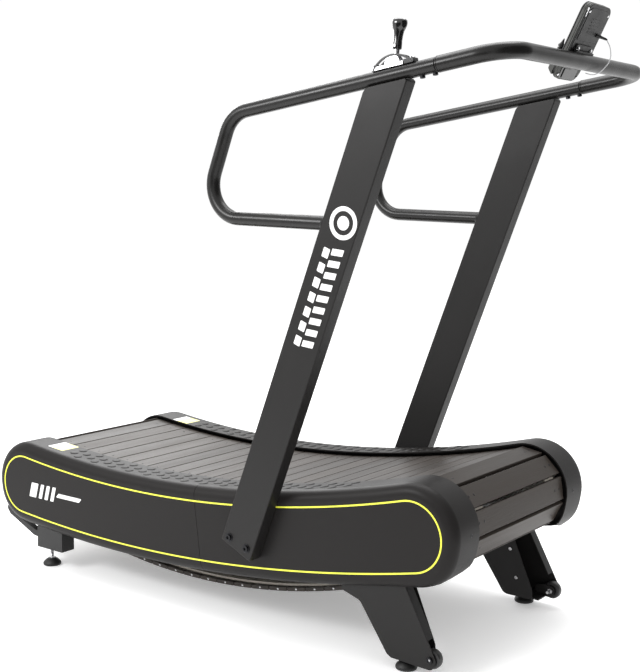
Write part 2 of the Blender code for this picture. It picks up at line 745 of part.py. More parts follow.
def make_magnet_arm(mats):
    """A pivoted arm whose curved shoe rides near the flywheel's rim."""
    pivot = magnet_pivot()
    shoe = magnet_shoe()
    low, high = MAGNET_SPOKE - MAGNET_SPREAD, MAGNET_SPOKE + MAGNET_SPREAD
    inner = arc(FRONT_DRUM, FLYWHEEL_RADIUS + MAGNET_SHOE[0], low, high, 6)
    outer = arc(FRONT_DRUM, FLYWHEEL_RADIUS + MAGNET_SHOE[1], high, low, 6)
    bm = bmesh.new()
    add_prism(bm, [(p.x, p.z) for p in inner + outer], *MAGNET_Y)
    arm = finish_mesh("magnet_arm", bm, mats["bright_steel"], pivot=pivot)
    along = (shoe - pivot).normalized()
    across = Vector((-along.z, 0, along.x)) * 0.005
    tip = shoe - along * 0.020
    corners = (pivot - across, tip - across, tip + across, pivot + across)
    bm = bmesh.new()
    add_prism(bm, [(c.x, c.z) for c in corners], MAGNET_Y[0] + 0.004, MAGNET_Y[1] - 0.004)
    boolean(arm, helper("magnet_arm_bar", bm), "UNION")
    hub = turned(rod_profile(0.011, *MAGNET_Y), pivot, segments=16)
    boolean(arm, helper("magnet_arm_hub", hub), "UNION")
    bore = turned(rod_profile(0.0060, -0.310, -0.270), pivot, segments=16)
    boolean(arm, helper("magnet_arm_bore", bore), "DIFFERENCE")


def rail_height(x):
    """Height of the handrail's middle line above the floor."""
    return RAIL_FRONT[1] + (x - RAIL_FRONT[0]) * math.tan(RAIL_SLOPE)


def rail_direction():
    return Vector((math.cos(RAIL_SLOPE), 0, math.sin(RAIL_SLOPE)))


def rail_up():
    return Vector((-math.sin(RAIL_SLOPE), 0, math.cos(RAIL_SLOPE)))


def make_lever(mats):
    """The resistance lever, its knob, and the arched gate that stands on the right handrail."""
    base = Vector((LEVER_PIVOT.x, -RAIL_Y, rail_height(LEVER_PIVOT.x)))
    along = rail_direction()
    up = rail_up()
    seat = base + up * (RAIL_RADIUS + GAP)

    def shape(points):
        places = (seat + along * u + up * w for u, w in points)
        return [(p.x, p.z) for p in places]

    def half_ring(radius, centre_w, steps=12):
        """(u, w) points of the part of a circle that stands above the gate's base line."""
        spread = math.acos(min(max(-centre_w / radius, -1), 1)) if centre_w < 0 else math.pi / 2
        turns = (spread - 2 * spread * k / steps for k in range(steps + 1))
        return [(radius * math.sin(t), centre_w + radius * math.cos(t)) for t in turns]

    arch_radius = (GATE_HALF_LENGTH**2 + GATE_HEIGHT**2) / (2 * GATE_HEIGHT)
    arch_centre = GATE_HEIGHT - arch_radius
    outside = half_ring(arch_radius, arch_centre)
    inside = half_ring(arch_radius - GATE_BAND, arch_centre)
    bm = bmesh.new()
    sides = (-RAIL_Y - GATE_HALF_WIDTH, -RAIL_Y + GATE_HALF_WIDTH)
    add_prism(bm, shape(outside + inside[::-1]), *sides)
    gate = finish_mesh("lever_gate", bm, mats["black_plastic"])
    end = GATE_HALF_LENGTH - 0.004
    bm = bmesh.new()
    add_prism(bm, shape([(-end, 0), (end, 0), (end, GATE_BASE), (-end, GATE_BASE)]), *sides)
    boolean(gate, helper("gate_base", bm), "UNION")
    bm = bmesh.new()
    cheek = shape([(u, w + GATE_BASE - 0.001) for u, w in half_ring(GATE_CHEEK, 0)])
    add_prism(bm, cheek, sides[0] + 0.002, sides[1] - 0.002)
    boolean(gate, helper("gate_cheeks", bm), "UNION")
    slots = (("hub_slot", 0.024, 0.0020, 0.0072), ("arch_slot", 0.043, GATE_CHEEK, 0.0078))
    for name, reach, low, half_slot in slots:
        corners = [(-reach, low), (reach, low), (reach, 0.06), (-reach, 0.06)]
        bm = bmesh.new()
        add_prism(bm, shape(corners), -RAIL_Y - half_slot, -RAIL_Y + half_slot)
        boolean(gate, helper(name, bm), "DIFFERENCE")
    passage = turned(rod_profile(CABLE_PASSAGE, -0.06, 0.05), brake_cable_top(), up, 10)
    boolean(gate, helper("cable_passage_gate", passage), "DIFFERENCE")

    lean = Vector((math.sin(LEVER_TILT), 0, math.cos(LEVER_TILT)))
    shaft = turned(rod_profile(LEVER_RADIUS, 0, 0.070), LEVER_PIVOT, lean, 16)
    rod = finish_mesh("lever_shaft", shaft, mats["chrome"], pivot=LEVER_PIVOT)
    hub_profile = rod_profile(0.0088, -0.0055, 0.0055)
    boolean(rod, helper("lever_hub", turned(hub_profile, LEVER_PIVOT, segments=16)), "UNION")
    start, end = LEVER_KNOB_START, LEVER_KNOB_END
    socket = LEVER_RADIUS + GAP
    profile = [
        (0, 0.0705), (socket, 0.0705), (socket, start), (0.0100, start), (0.0105, start + 0.014),
        (0.0125, start + 0.034), (0.0175, end - 0.014), (0.0185, end - 0.008), (0.0165, end - 0.003),
        (0, end),
    ]
    knob = turned(profile, LEVER_PIVOT, lean, 14)
    finish_mesh("lever_knob", knob, mats["gloss_black"], pivot=LEVER_PIVOT)


def brake_cable_top():
    """Where the brake cable's inner wire enters the gate, just above the handrail."""
    return Vector((CABLE_TOP_X, -RAIL_Y, rail_height(CABLE_TOP_X))) + rail_up() * (RAIL_RADIUS + 0.006)


def make_cable(name, points, radius, finish):
    """A round cable through smooth points, as a curve with a bevel."""
    curve = bpy.data.curves.new(name, "CURVE")
    curve.dimensions = "3D"
    curve.resolution_u = 3
    curve.bevel_depth = radius
    curve.bevel_resolution = 1
    curve.use_fill_caps = True
    spline = curve.splines.new("BEZIER")
    spline.bezier_points.add(len(points) - 1)
    for knot, place in zip(spline.bezier_points, points):
        knot.co = place
        knot.handle_left_type = "AUTO"
        knot.handle_right_type = "AUTO"
    curve.materials.append(finish)
    made = bpy.data.objects.new(name, curve)
    bpy.context.scene.collection.objects.link(made)
    return made


def make_brake_cable(mats):
    """From the gate down inside the right upright, out of its port and forward to the magnet arm."""
    top = brake_cable_top()
    port = cable_port()
    lean = math.tan(UPRIGHT_LEAN)
    inside = [Vector((port.x + (z - port.z) * lean, -RAIL_Y, z)) for z in (1.20, 0.80, 0.42)]
    up = rail_up()
    points = [
        top,
        top - up * 0.030,
        top - up * 0.060,
        *inside,
        Vector((port.x + 0.004, -0.364, port.z + 0.008)),
        Vector((port.x, -0.349, port.z)),
        Vector((port.x + 0.030, -0.325, 0.296)),
        Vector((0.290, -0.310, 0.300)),
        Vector((0.400, -0.300, 0.330)),
    ]
    make_cable("brake_cable", points, CABLE_RADIUS, mats["black_plastic"])


# ---- Uprights, handrails and front bar ----------------------------------------------------------
def upright_outline(inset):
    """Rear edge, mitred top and oblique bottom of the upright, with side walls this far in."""
    lean = math.tan(UPRIGHT_LEAN)
    side_inset = inset / math.cos(UPRIGHT_LEAN)
    depth = UPRIGHT_DEPTH / math.cos(UPRIGHT_LEAN)
    drop = (RAIL_RADIUS + GAP) / math.cos(RAIL_SLOPE)
    top_rise = math.tan(RAIL_SLOPE)
    (x1, z1), (x2, z2) = UPRIGHT_CUT
    cut_rise = (z2 - z1) / (x2 - x1)
    points = []
    for offset in (side_inset, depth - side_inset):
        foot = UPRIGHT_FOOT_X + offset
        top_z = (rail_height(0) - drop + top_rise * foot) / (1 - top_rise * lean)
        low_z = (z1 + cut_rise * (foot - x1)) / (1 - cut_rise * lean)
        points.append(((foot + low_z * lean, low_z), (foot + top_z * lean, top_z)))
    (rear_low, rear_top), (front_low, front_top) = points
    return [rear_low, front_low, front_top, rear_top]


def make_uprights(mats, holes):
    for side, sign in SIDES.items():
        low_y, high_y = sorted(sign * y for y in UPRIGHT_Y)
        bm = bmesh.new()
        add_prism(bm, upright_outline(0), low_y, high_y)
        upright = finish_mesh(f"upright_{side}", bm, mats["powder_coat"], smooth=20)
        cavity = upright_outline(UPRIGHT_WALL)
        lean = Vector((math.sin(UPRIGHT_LEAN), math.cos(UPRIGHT_LEAN)))
        longer = [
            (x + lean.x * way * 0.05, z + lean.y * way * 0.05)
            for (x, z), way in zip(cavity, (-1, -1, 1, 1))
        ]
        bm = bmesh.new()
        add_prism(bm, longer, low_y + UPRIGHT_WALL, high_y - UPRIGHT_WALL)
        boolean(upright, helper(f"upright_cavity_{side}", bm), "DIFFERENCE")
        boolean(upright, holes[side], "DIFFERENCE")
        for number, (x, z) in enumerate(UPRIGHT_BOLTS, 1):
            outside = (x, sign * (UPRIGHT_Y[1] + GAP), z)
            bolt(f"upright_bolt_{side}_{number}", outside, (0, sign, 0), (0.0090, 0.0060),
                 (BOLT_RADIUS, 0.110), mats["black_bolt"])


def make_handrails(mats, bolt_holes):
    lean = math.tan(UPRIGHT_LEAN)
    rise = math.tan(RAIL_SLOPE)
    foot = -RAIL_LEG_OFFSET
    top_z = (rail_height(0) + rise * foot) / (1 - rise * lean)
    upright_rear = UPRIGHT_FOOT_X + RAIL_LOW_Z * lean - GAP
    normal = Vector((math.cos(UPRIGHT_LEAN), 0, -math.sin(UPRIGHT_LEAN)))
    for side, sign in SIDES.items():
        y = sign * RAIL_Y
        corners = [
            Vector((RAIL_FRONT[0] - GAP, y, RAIL_FRONT[1])),
            Vector((foot + top_z * lean, y, top_z)),
            Vector((foot + RAIL_LOW_Z * lean, y, RAIL_LOW_Z)),
            Vector((upright_rear - 0.004, y, RAIL_LOW_Z - 0.006)),
        ]
        stations = bent_path(corners, RAIL_BEND)
        sizes = [(RAIL_RADIUS, RAIL_RADIUS - RAIL_WALL)] * len(stations)
        trim = (Vector((upright_rear - GAP, y, RAIL_LOW_Z)), normal)
        bm = tube(stations, sizes, Y_AXIS, trim=trim)
        rail = finish_mesh(f"handrail_{side}", bm, mats["rail_coat"])
        boolean(rail, bolt_holes[side], "DIFFERENCE")
        if side == "right":
            passage = turned(rod_profile(CABLE_PASSAGE, -0.06, 0.02), brake_cable_top(), rail_up(), 10)
            boolean(rail, helper("cable_passage_rail", passage), "DIFFERENCE")


def make_bar_bolts(mats):
    """Two bolts under each joint of handrail and front bar, and the cutters for their holes."""
    down = -rail_up()
    cutters = {}
    for side, sign in SIDES.items():
        bm = bmesh.new()
        for number, back in enumerate(BAR_BOLTS_BACK, 1):
            middle = Vector((RAIL_FRONT[0], sign * RAIL_Y, RAIL_FRONT[1])) - rail_direction() * back
            seat = middle + down * (RAIL_RADIUS + GAP)
            bolt(f"bar_bolt_{side}_{number}", seat, down, (0.0060, 0.0050), (0.0030, 0.012),
                 mats["black_bolt"])
            add_turned(bm, rod_profile(0.0034, 0.004, 0.030), middle, down, 12)
        cutters[side] = helper(f"bar_bolt_holes_{side}", bm)
    return cutters


def make_front_bar(mats, bolt_holes):
    """A U-shaped bar in the handrails' plane; thinner spigots at its ends slide into the handrails."""
    direction = rail_direction()
    ends = [Vector((RAIL_FRONT[0], sign * RAIL_Y, RAIL_FRONT[1])) for sign in (-1, 1)]
    reach = (BAR_FRONT_X - RAIL_FRONT[0]) / direction.x
    corners = [ends[0], ends[0] + direction * reach, ends[1] + direction * reach, ends[1]]
    spigot = (RAIL_RADIUS - RAIL_WALL - GAP * 2, RAIL_RADIUS - RAIL_WALL - 0.0030)
    full = (BAR_RADIUS, BAR_RADIUS - 0.0025)
    first = bent_path(corners, BAR_BEND)
    start, finish = first[0], first[-1]
    stations = [(start[0] - direction * BAR_SPIGOT, direction), start, start]
    sizes = [spigot, spigot, (BAR_RADIUS, spigot[1])]
    stations += [(start[0] + direction * 0.003, direction)] * 2
    sizes += [(BAR_RADIUS, spigot[1]), full]
    stations += first[1:-1]
    sizes += [full] * (len(first) - 2)
    stations += [(finish[0] + direction * 0.003, -direction)] * 2
    sizes += [full, (BAR_RADIUS, spigot[1])]
    stations += [finish, finish, (finish[0] - direction * BAR_SPIGOT, -direction)]
    sizes += [(BAR_RADIUS, spigot[1]), spigot, spigot]
    normal = direction.cross(Y_AXIS)
    bm = tube(stations, sizes, normal)
    bmesh.ops.dissolve_degenerate(bm, edges=bm.edges[:], dist=1e-7)
    bar = finish_mesh("front_handlebar", bm, mats["rail_coat"])
    for side in SIDES:
        boolean(bar, bolt_holes[side], "DIFFERENCE")


# ---- Console ------------------------------------------------------------------------------------
def console_point(out, across, up):
    """Console coordinates: out of its back, across to the left, and up its length."""
    turn = Matrix.Rotation(CONSOLE_LEAN, 3, "Y")
    return CONSOLE_BACK + turn @ Vector((out, across, up))


def rounded_rectangle(half_width, low, high, radius, steps=3):
    points = []
    for y_way, z, z_way in ((1, high, 1), (-1, high, 1), (-1, low, -1), (1, low, -1)):
        centre = (y_way * (half_width - radius), z - z_way * radius)
        start = {(1, 1): 0, (-1, 1): 90, (-1, -1): 180, (1, -1): 270}[y_way, z_way]
        for k in range(steps + 1):
            t = math.radians(start + 90 * k / steps)
            points.append((centre[0] + radius * math.cos(t), centre[1] + radius * math.sin(t)))
    return points


def console_slab(outline, out_from, out_to):
    """An (across, up) outline, extruded out of the console's back."""
    bm = bmesh.new()
    near = [bm.verts.new(console_point(out_from, *p)) for p in outline]
    far = [bm.verts.new(console_point(out_to, *p)) for p in outline]
    bm.faces.new(near)
    bm.faces.new(far)
    bridge(bm, near, far)
    return bm


def make_console(mats):
    face = -CONSOLE_DEPTH
    outline = rounded_rectangle(CONSOLE_HALF_WIDTH, CONSOLE_BOTTOM, CONSOLE_TOP, 0.024)
    housing = finish_mesh("console_housing", console_slab(outline, face, 0), mats["black_plastic"])
    bevel = housing.modifiers.new("edge rounding", "BEVEL")
    bevel.width = 0.003
    bevel.segments = 2
    bevel.limit_method = "ANGLE"
    window = rounded_rectangle(0.042, 0.010, 0.130, 0.008)
    recess = console_slab(window, face - 0.01, face + 0.003)
    boolean(housing, helper("screen_recess", recess), "DIFFERENCE")
    pane = console_slab(rounded_rectangle(0.0415, 0.0105, 0.1295, 0.0078), face + 0.0005, face + 0.0027)
    finish_mesh("console_screen", pane, mats["screen_glass"])
    wells = bmesh.new()
    for name, across in (("left", 0.026), ("middle", 0.0), ("right", -0.026)):
        place = console_point(face, across, -0.022)
        inward = console_point(1, 0, 0) - console_point(0, 0, 0)
        add_turned(wells, rod_profile(0.0095, -0.010, 0.006), place, inward, 12)
        profile = [(0, 0.0040), (0.0090, 0.0040), (0.0090, -0.0005), (0.0080, -0.0015), (0, -0.0018)]
        cap = turned(profile, place, inward, 12)
        finish_mesh(f"console_button_{name}", cap, mats["button_rubber"], pivot=place)
    boolean(housing, helper("button_wells", wells), "DIFFERENCE")

    block = console_slab(rounded_rectangle(0.044, -0.056, 0.056, 0.006), GAP, 0.0180)
    bracket = finish_mesh("console_bracket", block, mats["black_plastic"])
    bar_middle = Vector((BAR_FRONT_X, 0, rail_height(BAR_FRONT_X)))
    saddle = turned(rod_profile(BAR_RADIUS + GAP, -0.08, 0.08), bar_middle, segments=28)
    boolean(bracket, helper("bar_saddle", saddle), "DIFFERENCE")

    back, lip, half = face - GAP, face - 0.037, 0.040
    low, floor, rim = -0.046, -0.042, -0.034
    shelf = [(lip, low), (lip, rim), (lip + 0.004, rim), (lip + 0.004, floor), (back, floor), (back, low)]
    bm = bmesh.new()
    near = [bm.verts.new(console_point(out, -half, up)) for out, up in shelf]
    far = [bm.verts.new(console_point(out, half, up)) for out, up in shelf]
    bm.faces.new(near)
    bm.faces.new(far)
    bridge(bm, near, far)
    finish_mesh("phone_shelf", bm, mats["black_plastic"])


def make_sensor_cable(mats):
    """A thin lead from the console's back, looping down in front of the bar and ending under it."""
    start = console_point(0.0015, 0.034, 0.072)
    front = BAR_FRONT_X + BAR_RADIUS
    bar_z = rail_height(BAR_FRONT_X)
    points = [
        start,
        start + Vector((0.014, 0.004, -0.008)),
        Vector((front + 0.004, 0.050, bar_z + 0.045)),
        Vector((front + 0.0075, 0.050, bar_z + 0.002)),
        Vector((front - 0.002, 0.038, bar_z - 0.026)),
        Vector((BAR_FRONT_X - 0.014, 0.020, bar_z - 0.029)),
    ]
    make_cable("sensor_cable", points, 0.0020, mats["button_rubber"])


def main():
    clear_scene()
    mats = make_materials()
    holes = make_hole_cutters()
    make_base_frame(mats, holes)
    make_front_legs(mats)
    make_covers(mats, holes)
    make_uprights(mats, holes)
    bar_holes = make_bar_bolts(mats)
    make_handrails(mats, bar_holes)
    make_front_bar(mats, bar_holes)
    make_slat_belt(mats)
    make_drums(mats)
    make_support_rollers(mats)
    make_flywheel(mats)
    make_magnet_arm(mats)
    make_lever(mats)
    make_brake_cable(mats)
    make_wheels(mats)
    make_feet(mats)
    make_console(mats)
    make_sensor_cable(mats)


main()
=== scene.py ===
"""Looks of the curved manual treadmill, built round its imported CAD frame.

Metres, in the frame's own axes: +X towards the console, +Y to the runner's left, +Z up, floor at z = 0.
Joint places and boxes come from the frame. Radii and thicknesses below repeat the frame's own, except for
the console, the lever's gate and knob, the legs, the wheels and the handrails' shown radius.
"""

import json
import random
from functools import lru_cache
from math import acos, atan, atan2, copysign, cos, degrees, exp, pi, radians, remainder, sin, sqrt, tan, tau

import bmesh
import bpy
from mathutils import Matrix, Vector


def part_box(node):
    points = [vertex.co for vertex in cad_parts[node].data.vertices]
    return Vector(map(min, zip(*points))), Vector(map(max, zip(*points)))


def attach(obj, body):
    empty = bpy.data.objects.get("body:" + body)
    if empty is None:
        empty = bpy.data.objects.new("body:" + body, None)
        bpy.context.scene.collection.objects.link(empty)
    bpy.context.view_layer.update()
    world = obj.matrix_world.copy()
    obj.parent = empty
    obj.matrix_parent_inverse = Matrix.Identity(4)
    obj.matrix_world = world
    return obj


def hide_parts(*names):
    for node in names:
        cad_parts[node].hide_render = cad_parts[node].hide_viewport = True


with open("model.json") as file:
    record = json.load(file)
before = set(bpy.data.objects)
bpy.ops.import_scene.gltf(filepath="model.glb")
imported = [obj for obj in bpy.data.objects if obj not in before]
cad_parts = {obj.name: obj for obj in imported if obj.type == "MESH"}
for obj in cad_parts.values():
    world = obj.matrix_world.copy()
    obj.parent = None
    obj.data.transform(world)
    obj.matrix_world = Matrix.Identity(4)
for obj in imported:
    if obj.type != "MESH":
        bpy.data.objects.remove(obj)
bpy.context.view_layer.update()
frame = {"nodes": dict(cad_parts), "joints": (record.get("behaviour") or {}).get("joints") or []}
JOINT = {joint["name"]: Vector(joint["pos_m"]) for joint in frame["joints"] if joint.get("pos_m")}

# ---- Sizes ----
DECK_CENTRE = JOINT["belt_travel"]
FRONT_DRUM = JOINT["front_drum_spin"]
REAR_DRUM = JOINT["rear_drum_spin"]
RETURN_CENTRE = JOINT["belt_return"]
TREAD_RADIUS = 3.515
DRUM_RADIUS = 0.1003
RETURN_RADIUS = 1.97

SLAT_COUNT = 55
UPPER_SLATS = 22
DRUM_SLATS = 5
SLAT_THICKNESS = 0.01
SLAT_HALF_LENGTH = 0.232
SLAT_GAP = 0.003
BELT_Y = 0.19
BELT_WIDTH = 0.05
BELT_THICKNESS = 0.006
SLAT_SCREW_Y = (0.189, 0.213)

COVER_CLEARANCE = 0.012
COVER_BOTTOM_RADIUS = 4.5
COVER_WALL = 0.0035
COVER_INNER_Y = 0.236
COVER_OUTER_Y = 0.3507
COVER_FILLET = 0.03
SEAM_X = -0.055
SEAM_Z = 0.25
SEAM_LEAN = radians(8)
SEAM_HALF_GAP = 0.0006
STRIPE_INSET = 0.0363
STRIPE_WIDTH = 0.0042
STRIPE_DROP = 0.004

DOME_RADIUS = 0.0125
DOME_HEIGHT = 0.0022
DOME_PITCH = 0.072
DOME_ROWS = ((0.255, 0.0), (0.273, 0.5), (0.29, 0.0), (0.308, 0.5))  # (y, share of a pitch)
DOME_START = -0.608
DOME_END = 0.4
LABEL_X = (-0.708, -0.645)
LABEL_Y = (0.238, 0.305)

UPRIGHT_LEAN = radians(20.69)
UPRIGHT_FOOT_X = -0.0214
UPRIGHT_DEPTH = 0.1018
UPRIGHT_REAR_EXTRA = 0.001  # how far the shown upright passes the frame's own
UPRIGHT_FRONT_EXTRA = 0.003
UPRIGHT_Y = (0.3513, 0.3913)
UPRIGHT_CUT = ((0.0795, 0.239), (0.1765, 0.195))

RAIL_Y = 0.3713
RAIL_RADIUS = 0.0165
RAIL_LOOK_RADIUS = 0.0176  # the tube with its thick coating
RAIL_FRONT = (0.6875, 1.434)
RAIL_SLOPE = atan(0.1554)
RAIL_LEG_OFFSET = 0.4235
RAIL_LOW_Z = 1.079
RAIL_BEND = 0.085
BAR_RADIUS = 0.019
BAR_FRONT_X = 0.8625
BAR_BEND = 0.08

CONSOLE_LEAN = radians(26.3)
CONSOLE_BACK = Vector((0.8453, 0.0, 1.4615))
CONSOLE_HALF_WIDTH = 0.061
CONSOLE_DEPTH = 0.02
CONSOLE_TOP = 0.1414
CONSOLE_BOTTOM = -0.049
CONSOLE_STEP = 0.008  # how far the back steps in below the bar

LEVER_PIVOT = JOINT["lever_tilt"]
LEVER_TILT = radians(6)
GATE_HALF_LENGTH = 0.056
GATE_HEIGHT = 0.029

LEG_Y = ((0.2523, 0.2553), (0.3285, 0.3315))
LEG_TAB_Y = (0.301, 0.304)
WHEEL_RADIUS = 0.024
WHEEL_HALF_WIDTH = 0.01
WHEEL_Y = 0.3165
RIM_SHARE = 0.62  # where the tyre meets the hub

Y_AXIS = Vector((0, 1, 0))
Z_AXIS = Vector((0, 0, 1))
SIDES = {"right": -1, "left": 1}
GAP = 0.0003  # between pieces that rest on each other
PRINT_DEPTHS = (-0.0002, 0.0003)  # printed shapes, below and above the face they sit on


def set_inputs(node, values):
    for key, value in values.items():
        node.inputs[key].default_value = value
    return node


def finish(name, colour, roughness, metallic=0.0, grain=(0.0, 0.002), mottle=(0.12, 0.08),
           stretch=(1, 1, 1), scatter=0.05, coat=0.0, specular=0.5, tone=0.0):
    """A Principled material with bumped grain, uneven colour and uneven roughness, all from noise.

    grain and mottle are (strength, size); stretch scales the noise along each axis; tone is how far the
    mesh's own "tone" attribute shifts the colour.
    """
    made = bpy.data.materials.new(name)
    made.use_nodes = True
    made.diffuse_color = (*colour, 1)
    nodes, links = made.node_tree.nodes, made.node_tree.links
    shader = set_inputs(nodes["Principled BSDF"], {
        "Metallic": metallic, "Coat Weight": coat, "Coat Roughness": 0.15, "Specular IOR Level": specular,
    })

    def node(kind, **values):
        return set_inputs(nodes.new("ShaderNode" + kind), {k.replace("_", " "): v for k, v in values.items()})

    mapping = node("Mapping", Scale=stretch)
    links.new(node("TexCoord").outputs["Object"], mapping.inputs["Vector"])

    def noise(size, detail):
        pattern = node("TexNoise", Scale=1 / size, Detail=detail)
        links.new(mapping.outputs["Vector"], pattern.inputs["Vector"])
        return pattern.outputs["Fac"]

    fine = noise(grain[1], 3)
    broad = noise(mottle[1], 4)
    blend = node("Mix")
    blend.data_type = "RGBA"
    blend.inputs["A"].default_value = (*(c * (1 - mottle[0]) for c in colour), 1)
    blend.inputs["B"].default_value = (*(min(c * (1 + mottle[0]), 1) for c in colour), 1)
    links.new(broad, blend.inputs["Factor"])
    out_colour = blend.outputs["Result"]
    if tone:
        reader = node("Attribute")
        reader.attribute_name = "tone"
        scale = node("Math")
        scale.operation = "MULTIPLY_ADD"
        scale.inputs[1].default_value = tone
        scale.inputs[2].default_value = 1.0
        links.new(reader.outputs["Fac"], scale.inputs[0])
        shift = node("VectorMath")
        shift.operation = "SCALE"
        links.new(out_colour, shift.inputs[0])
        links.new(scale.outputs[0], shift.inputs["Scale"])
        out_colour = shift.outputs["Vector"]
    links.new(out_colour, shader.inputs["Base Color"])
    spread = node("MapRange", From_Min=0.3, From_Max=0.7, To_Min=max(roughness - scatter, 0.02),
                  To_Max=min(roughness + scatter, 1.0))
    links.new(broad, spread.inputs["Value"])
    links.new(spread.outputs["Result"], shader.inputs["Roughness"])
    if grain[0]:
        bump = node("Bump", Strength=grain[0], Distance=grain[1] * 0.3)
        links.new(fine, bump.inputs["Height"])
        links.new(bump.outputs["Normal"], shader.inputs["Normal"])
    return made


COVER = finish("cover moulded plastic", (0.015, 0.0138, 0.0135), 0.4,
               grain=(0.35, 0.0016), mottle=(0.1, 0.25), scatter=0.04, specular=0.12)
POWDER = finish("charcoal powder coat", (0.0135, 0.0128, 0.0126), 0.44,
                grain=(0.45, 0.0012), mottle=(0.12, 0.12), specular=0.22)
RAIL = finish("satin rail coat", (0.0085, 0.0081, 0.0078), 0.3, grain=(0.25, 0.0012),
              mottle=(0.15, 0.06), specular=0.32)
FRAME_PAINT = finish("black frame paint", (0.01, 0.01, 0.01), 0.5, 0.1,
                     grain=(0.4, 0.002))
SLAT = finish("slat rubber", (0.034, 0.0275, 0.023), 0.42, grain=(0.5, 0.003),
              mottle=(0.25, 0.05), stretch=(1, 0.06, 1), scatter=0.06, specular=0.22, tone=0.22)
BELT = finish("belt cord", (0.5, 0.46, 0.4), 0.65, grain=(0.5, 0.002),
              mottle=(0.1, 0.08))
PLASTIC = finish("black plastic", (0.009, 0.009, 0.009), 0.42, grain=(0.4, 0.0012),
                 mottle=(0.15, 0.03))
SIDE_PLASTIC = finish("grey side plastic", (0.036, 0.037, 0.033), 0.48,
                      grain=(0.4, 0.0012), mottle=(0.1, 0.03))
GLOSS = finish("gloss black", (0.006, 0.006, 0.006), 0.1, mottle=(0.2, 0.01),
               scatter=0.03, coat=0.6)
RUBBER = finish("foot rubber", (0.008, 0.008, 0.008), 0.55, grain=(0.6, 0.0015))
TYRE = finish("wheel tyre", (0.016, 0.016, 0.016), 0.4, grain=(0.4, 0.0015))
BOLT = finish("black oxide bolt", (0.018, 0.018, 0.02), 0.3, 0.8, grain=(0.2, 0.001))
STEEL = finish("zinc plated steel", (0.56, 0.56, 0.57), 0.28, 1.0, grain=(0.3, 0.001),
               mottle=(0.1, 0.01), stretch=(1, 0.2, 1))
CHROME = finish("chrome", (0.8, 0.8, 0.81), 0.07, 1.0, mottle=(0.03, 0.01),
                scatter=0.03)
NYLON = finish("pulley nylon", (0.55, 0.53, 0.5), 0.5, grain=(0.3, 0.002))
GLASS = finish("screen window", (0.03, 0.038, 0.035), 0.08, mottle=(0.1, 0.08),
               scatter=0.02, coat=0.5)
BUTTON = finish("button rubber", (0.33, 0.33, 0.34), 0.6, grain=(0.4, 0.001))
WHITE = finish("white print", (0.78, 0.78, 0.77), 0.45, grain=(0.1, 0.002),
               mottle=(0.03, 0.08))
YELLOW = finish("yellow stripe print", (0.8, 0.83, 0.06), 0.42, grain=(0.1, 0.002),
                mottle=(0.03, 0.08))
LABEL_YELLOW = finish("yellow label print", (0.74, 0.72, 0.22), 0.35,
                      mottle=(0.05, 0.02))
LEAD = finish("pale lead", (0.45, 0.45, 0.46), 0.35, mottle=(0.05, 0.08))


# ---- Modelling helpers ----
def add_object(name, data):
    made = bpy.data.objects.new(name, data)
    bpy.context.scene.collection.objects.link(made)
    return made


def build(name, bm, material, body="frame", replaces=(), bevel=0.0, sharp=38, tones=None):
    """Turns a bmesh in frame coordinates into a finished piece that rides on a body.
    """
    bmesh.ops.recalc_face_normals(bm, faces=bm.faces[:])
    if bevel:
        edges = [e for e in bm.edges if e.is_manifold and e.calc_face_angle(0) > radians(28)]
        bmesh.ops.bevel(bm, geom=edges, offset=bevel, segments=3, profile=0.5, affect="EDGES",
                        clamp_overlap=True)
    mesh = bpy.data.meshes.new(name)
    bm.to_mesh(mesh)
    bm.free()
    mesh.shade_smooth()
    mesh.set_sharp_from_angle(angle=radians(sharp))
    mesh.materials.append(material)
    if tones:
        attribute = mesh.attributes.new("tone", "FLOAT", "FACE")
        attribute.data.foreach_set("value", [tones(face.center) for face in mesh.polygons])
    made = add_object(name, mesh)
    weighted = made.modifiers.new("flat faces stay flat", "WEIGHTED_NORMAL")
    weighted.keep_sharp = True
    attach(made, body)
    if replaces:
        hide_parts(*replaces)
    return made


def side_view(x, z, y):
    return Vector((x, y, z))


def slab(outline, low, high, place=side_view, bm=None):
    """A closed outline extruded between two depths; place turns (u, w, depth) into a point."""
    bm = bmesh.new() if bm is None else bm
    near = [bm.verts.new(place(u, w, low)) for u, w in outline]
    far = [bm.verts.new(place(u, w, high)) for u, w in outline]
    bm.faces.new(near)
    bm.faces.new(far)
    bridge(bm, near, far)
    return bm


def bridge(bm, first, second):
    for k in range(len(first)):
        n = (k + 1) % len(first)
        bm.faces.new((first[k], first[n], second[n], second[k]))


def rounded(points, radii, steps=6):
    """A closed outline with each corner rounded to its own radius."""
    result = []
    for i, (corner, radius) in enumerate(zip(points, radii)):
        corner = Vector(corner)
        if radius == 0:
            result.append(tuple(corner))
            continue
        before = (Vector(points[i - 1]) - corner).normalized()
        after = (Vector(points[(i + 1) % len(points)]) - corner).normalized()
        half = before.angle(after) / 2
        reach = radius / tan(half)
        centre = corner + (before + after).normalized() * radius / sin(half)
        start, end = corner + before * reach - centre, corner + after * reach - centre
        from_angle = atan2(start.y, start.x)
        sweep = remainder(atan2(end.y, end.x) - from_angle, tau)
        for k in range(steps + 1):
            angle = from_angle + sweep * k / steps
            result.append((centre.x + radius * cos(angle), centre.y + radius * sin(angle)))
    return result


def rounded_box(low, high, radius, steps=6):
    corners = [(high[0], high[1]), (low[0], high[1]), (low[0], low[1]), (high[0], low[1])]
    return rounded(corners, [radius] * 4, steps)


def rectangle(left, low, right, high):
    return [(left, low), (right, low), (right, high), (left, high)]


def disc(radius, low, high):
    """The profile of a plain cylinder."""
    return [(0, low), (radius, low), (radius, high), (0, high)]


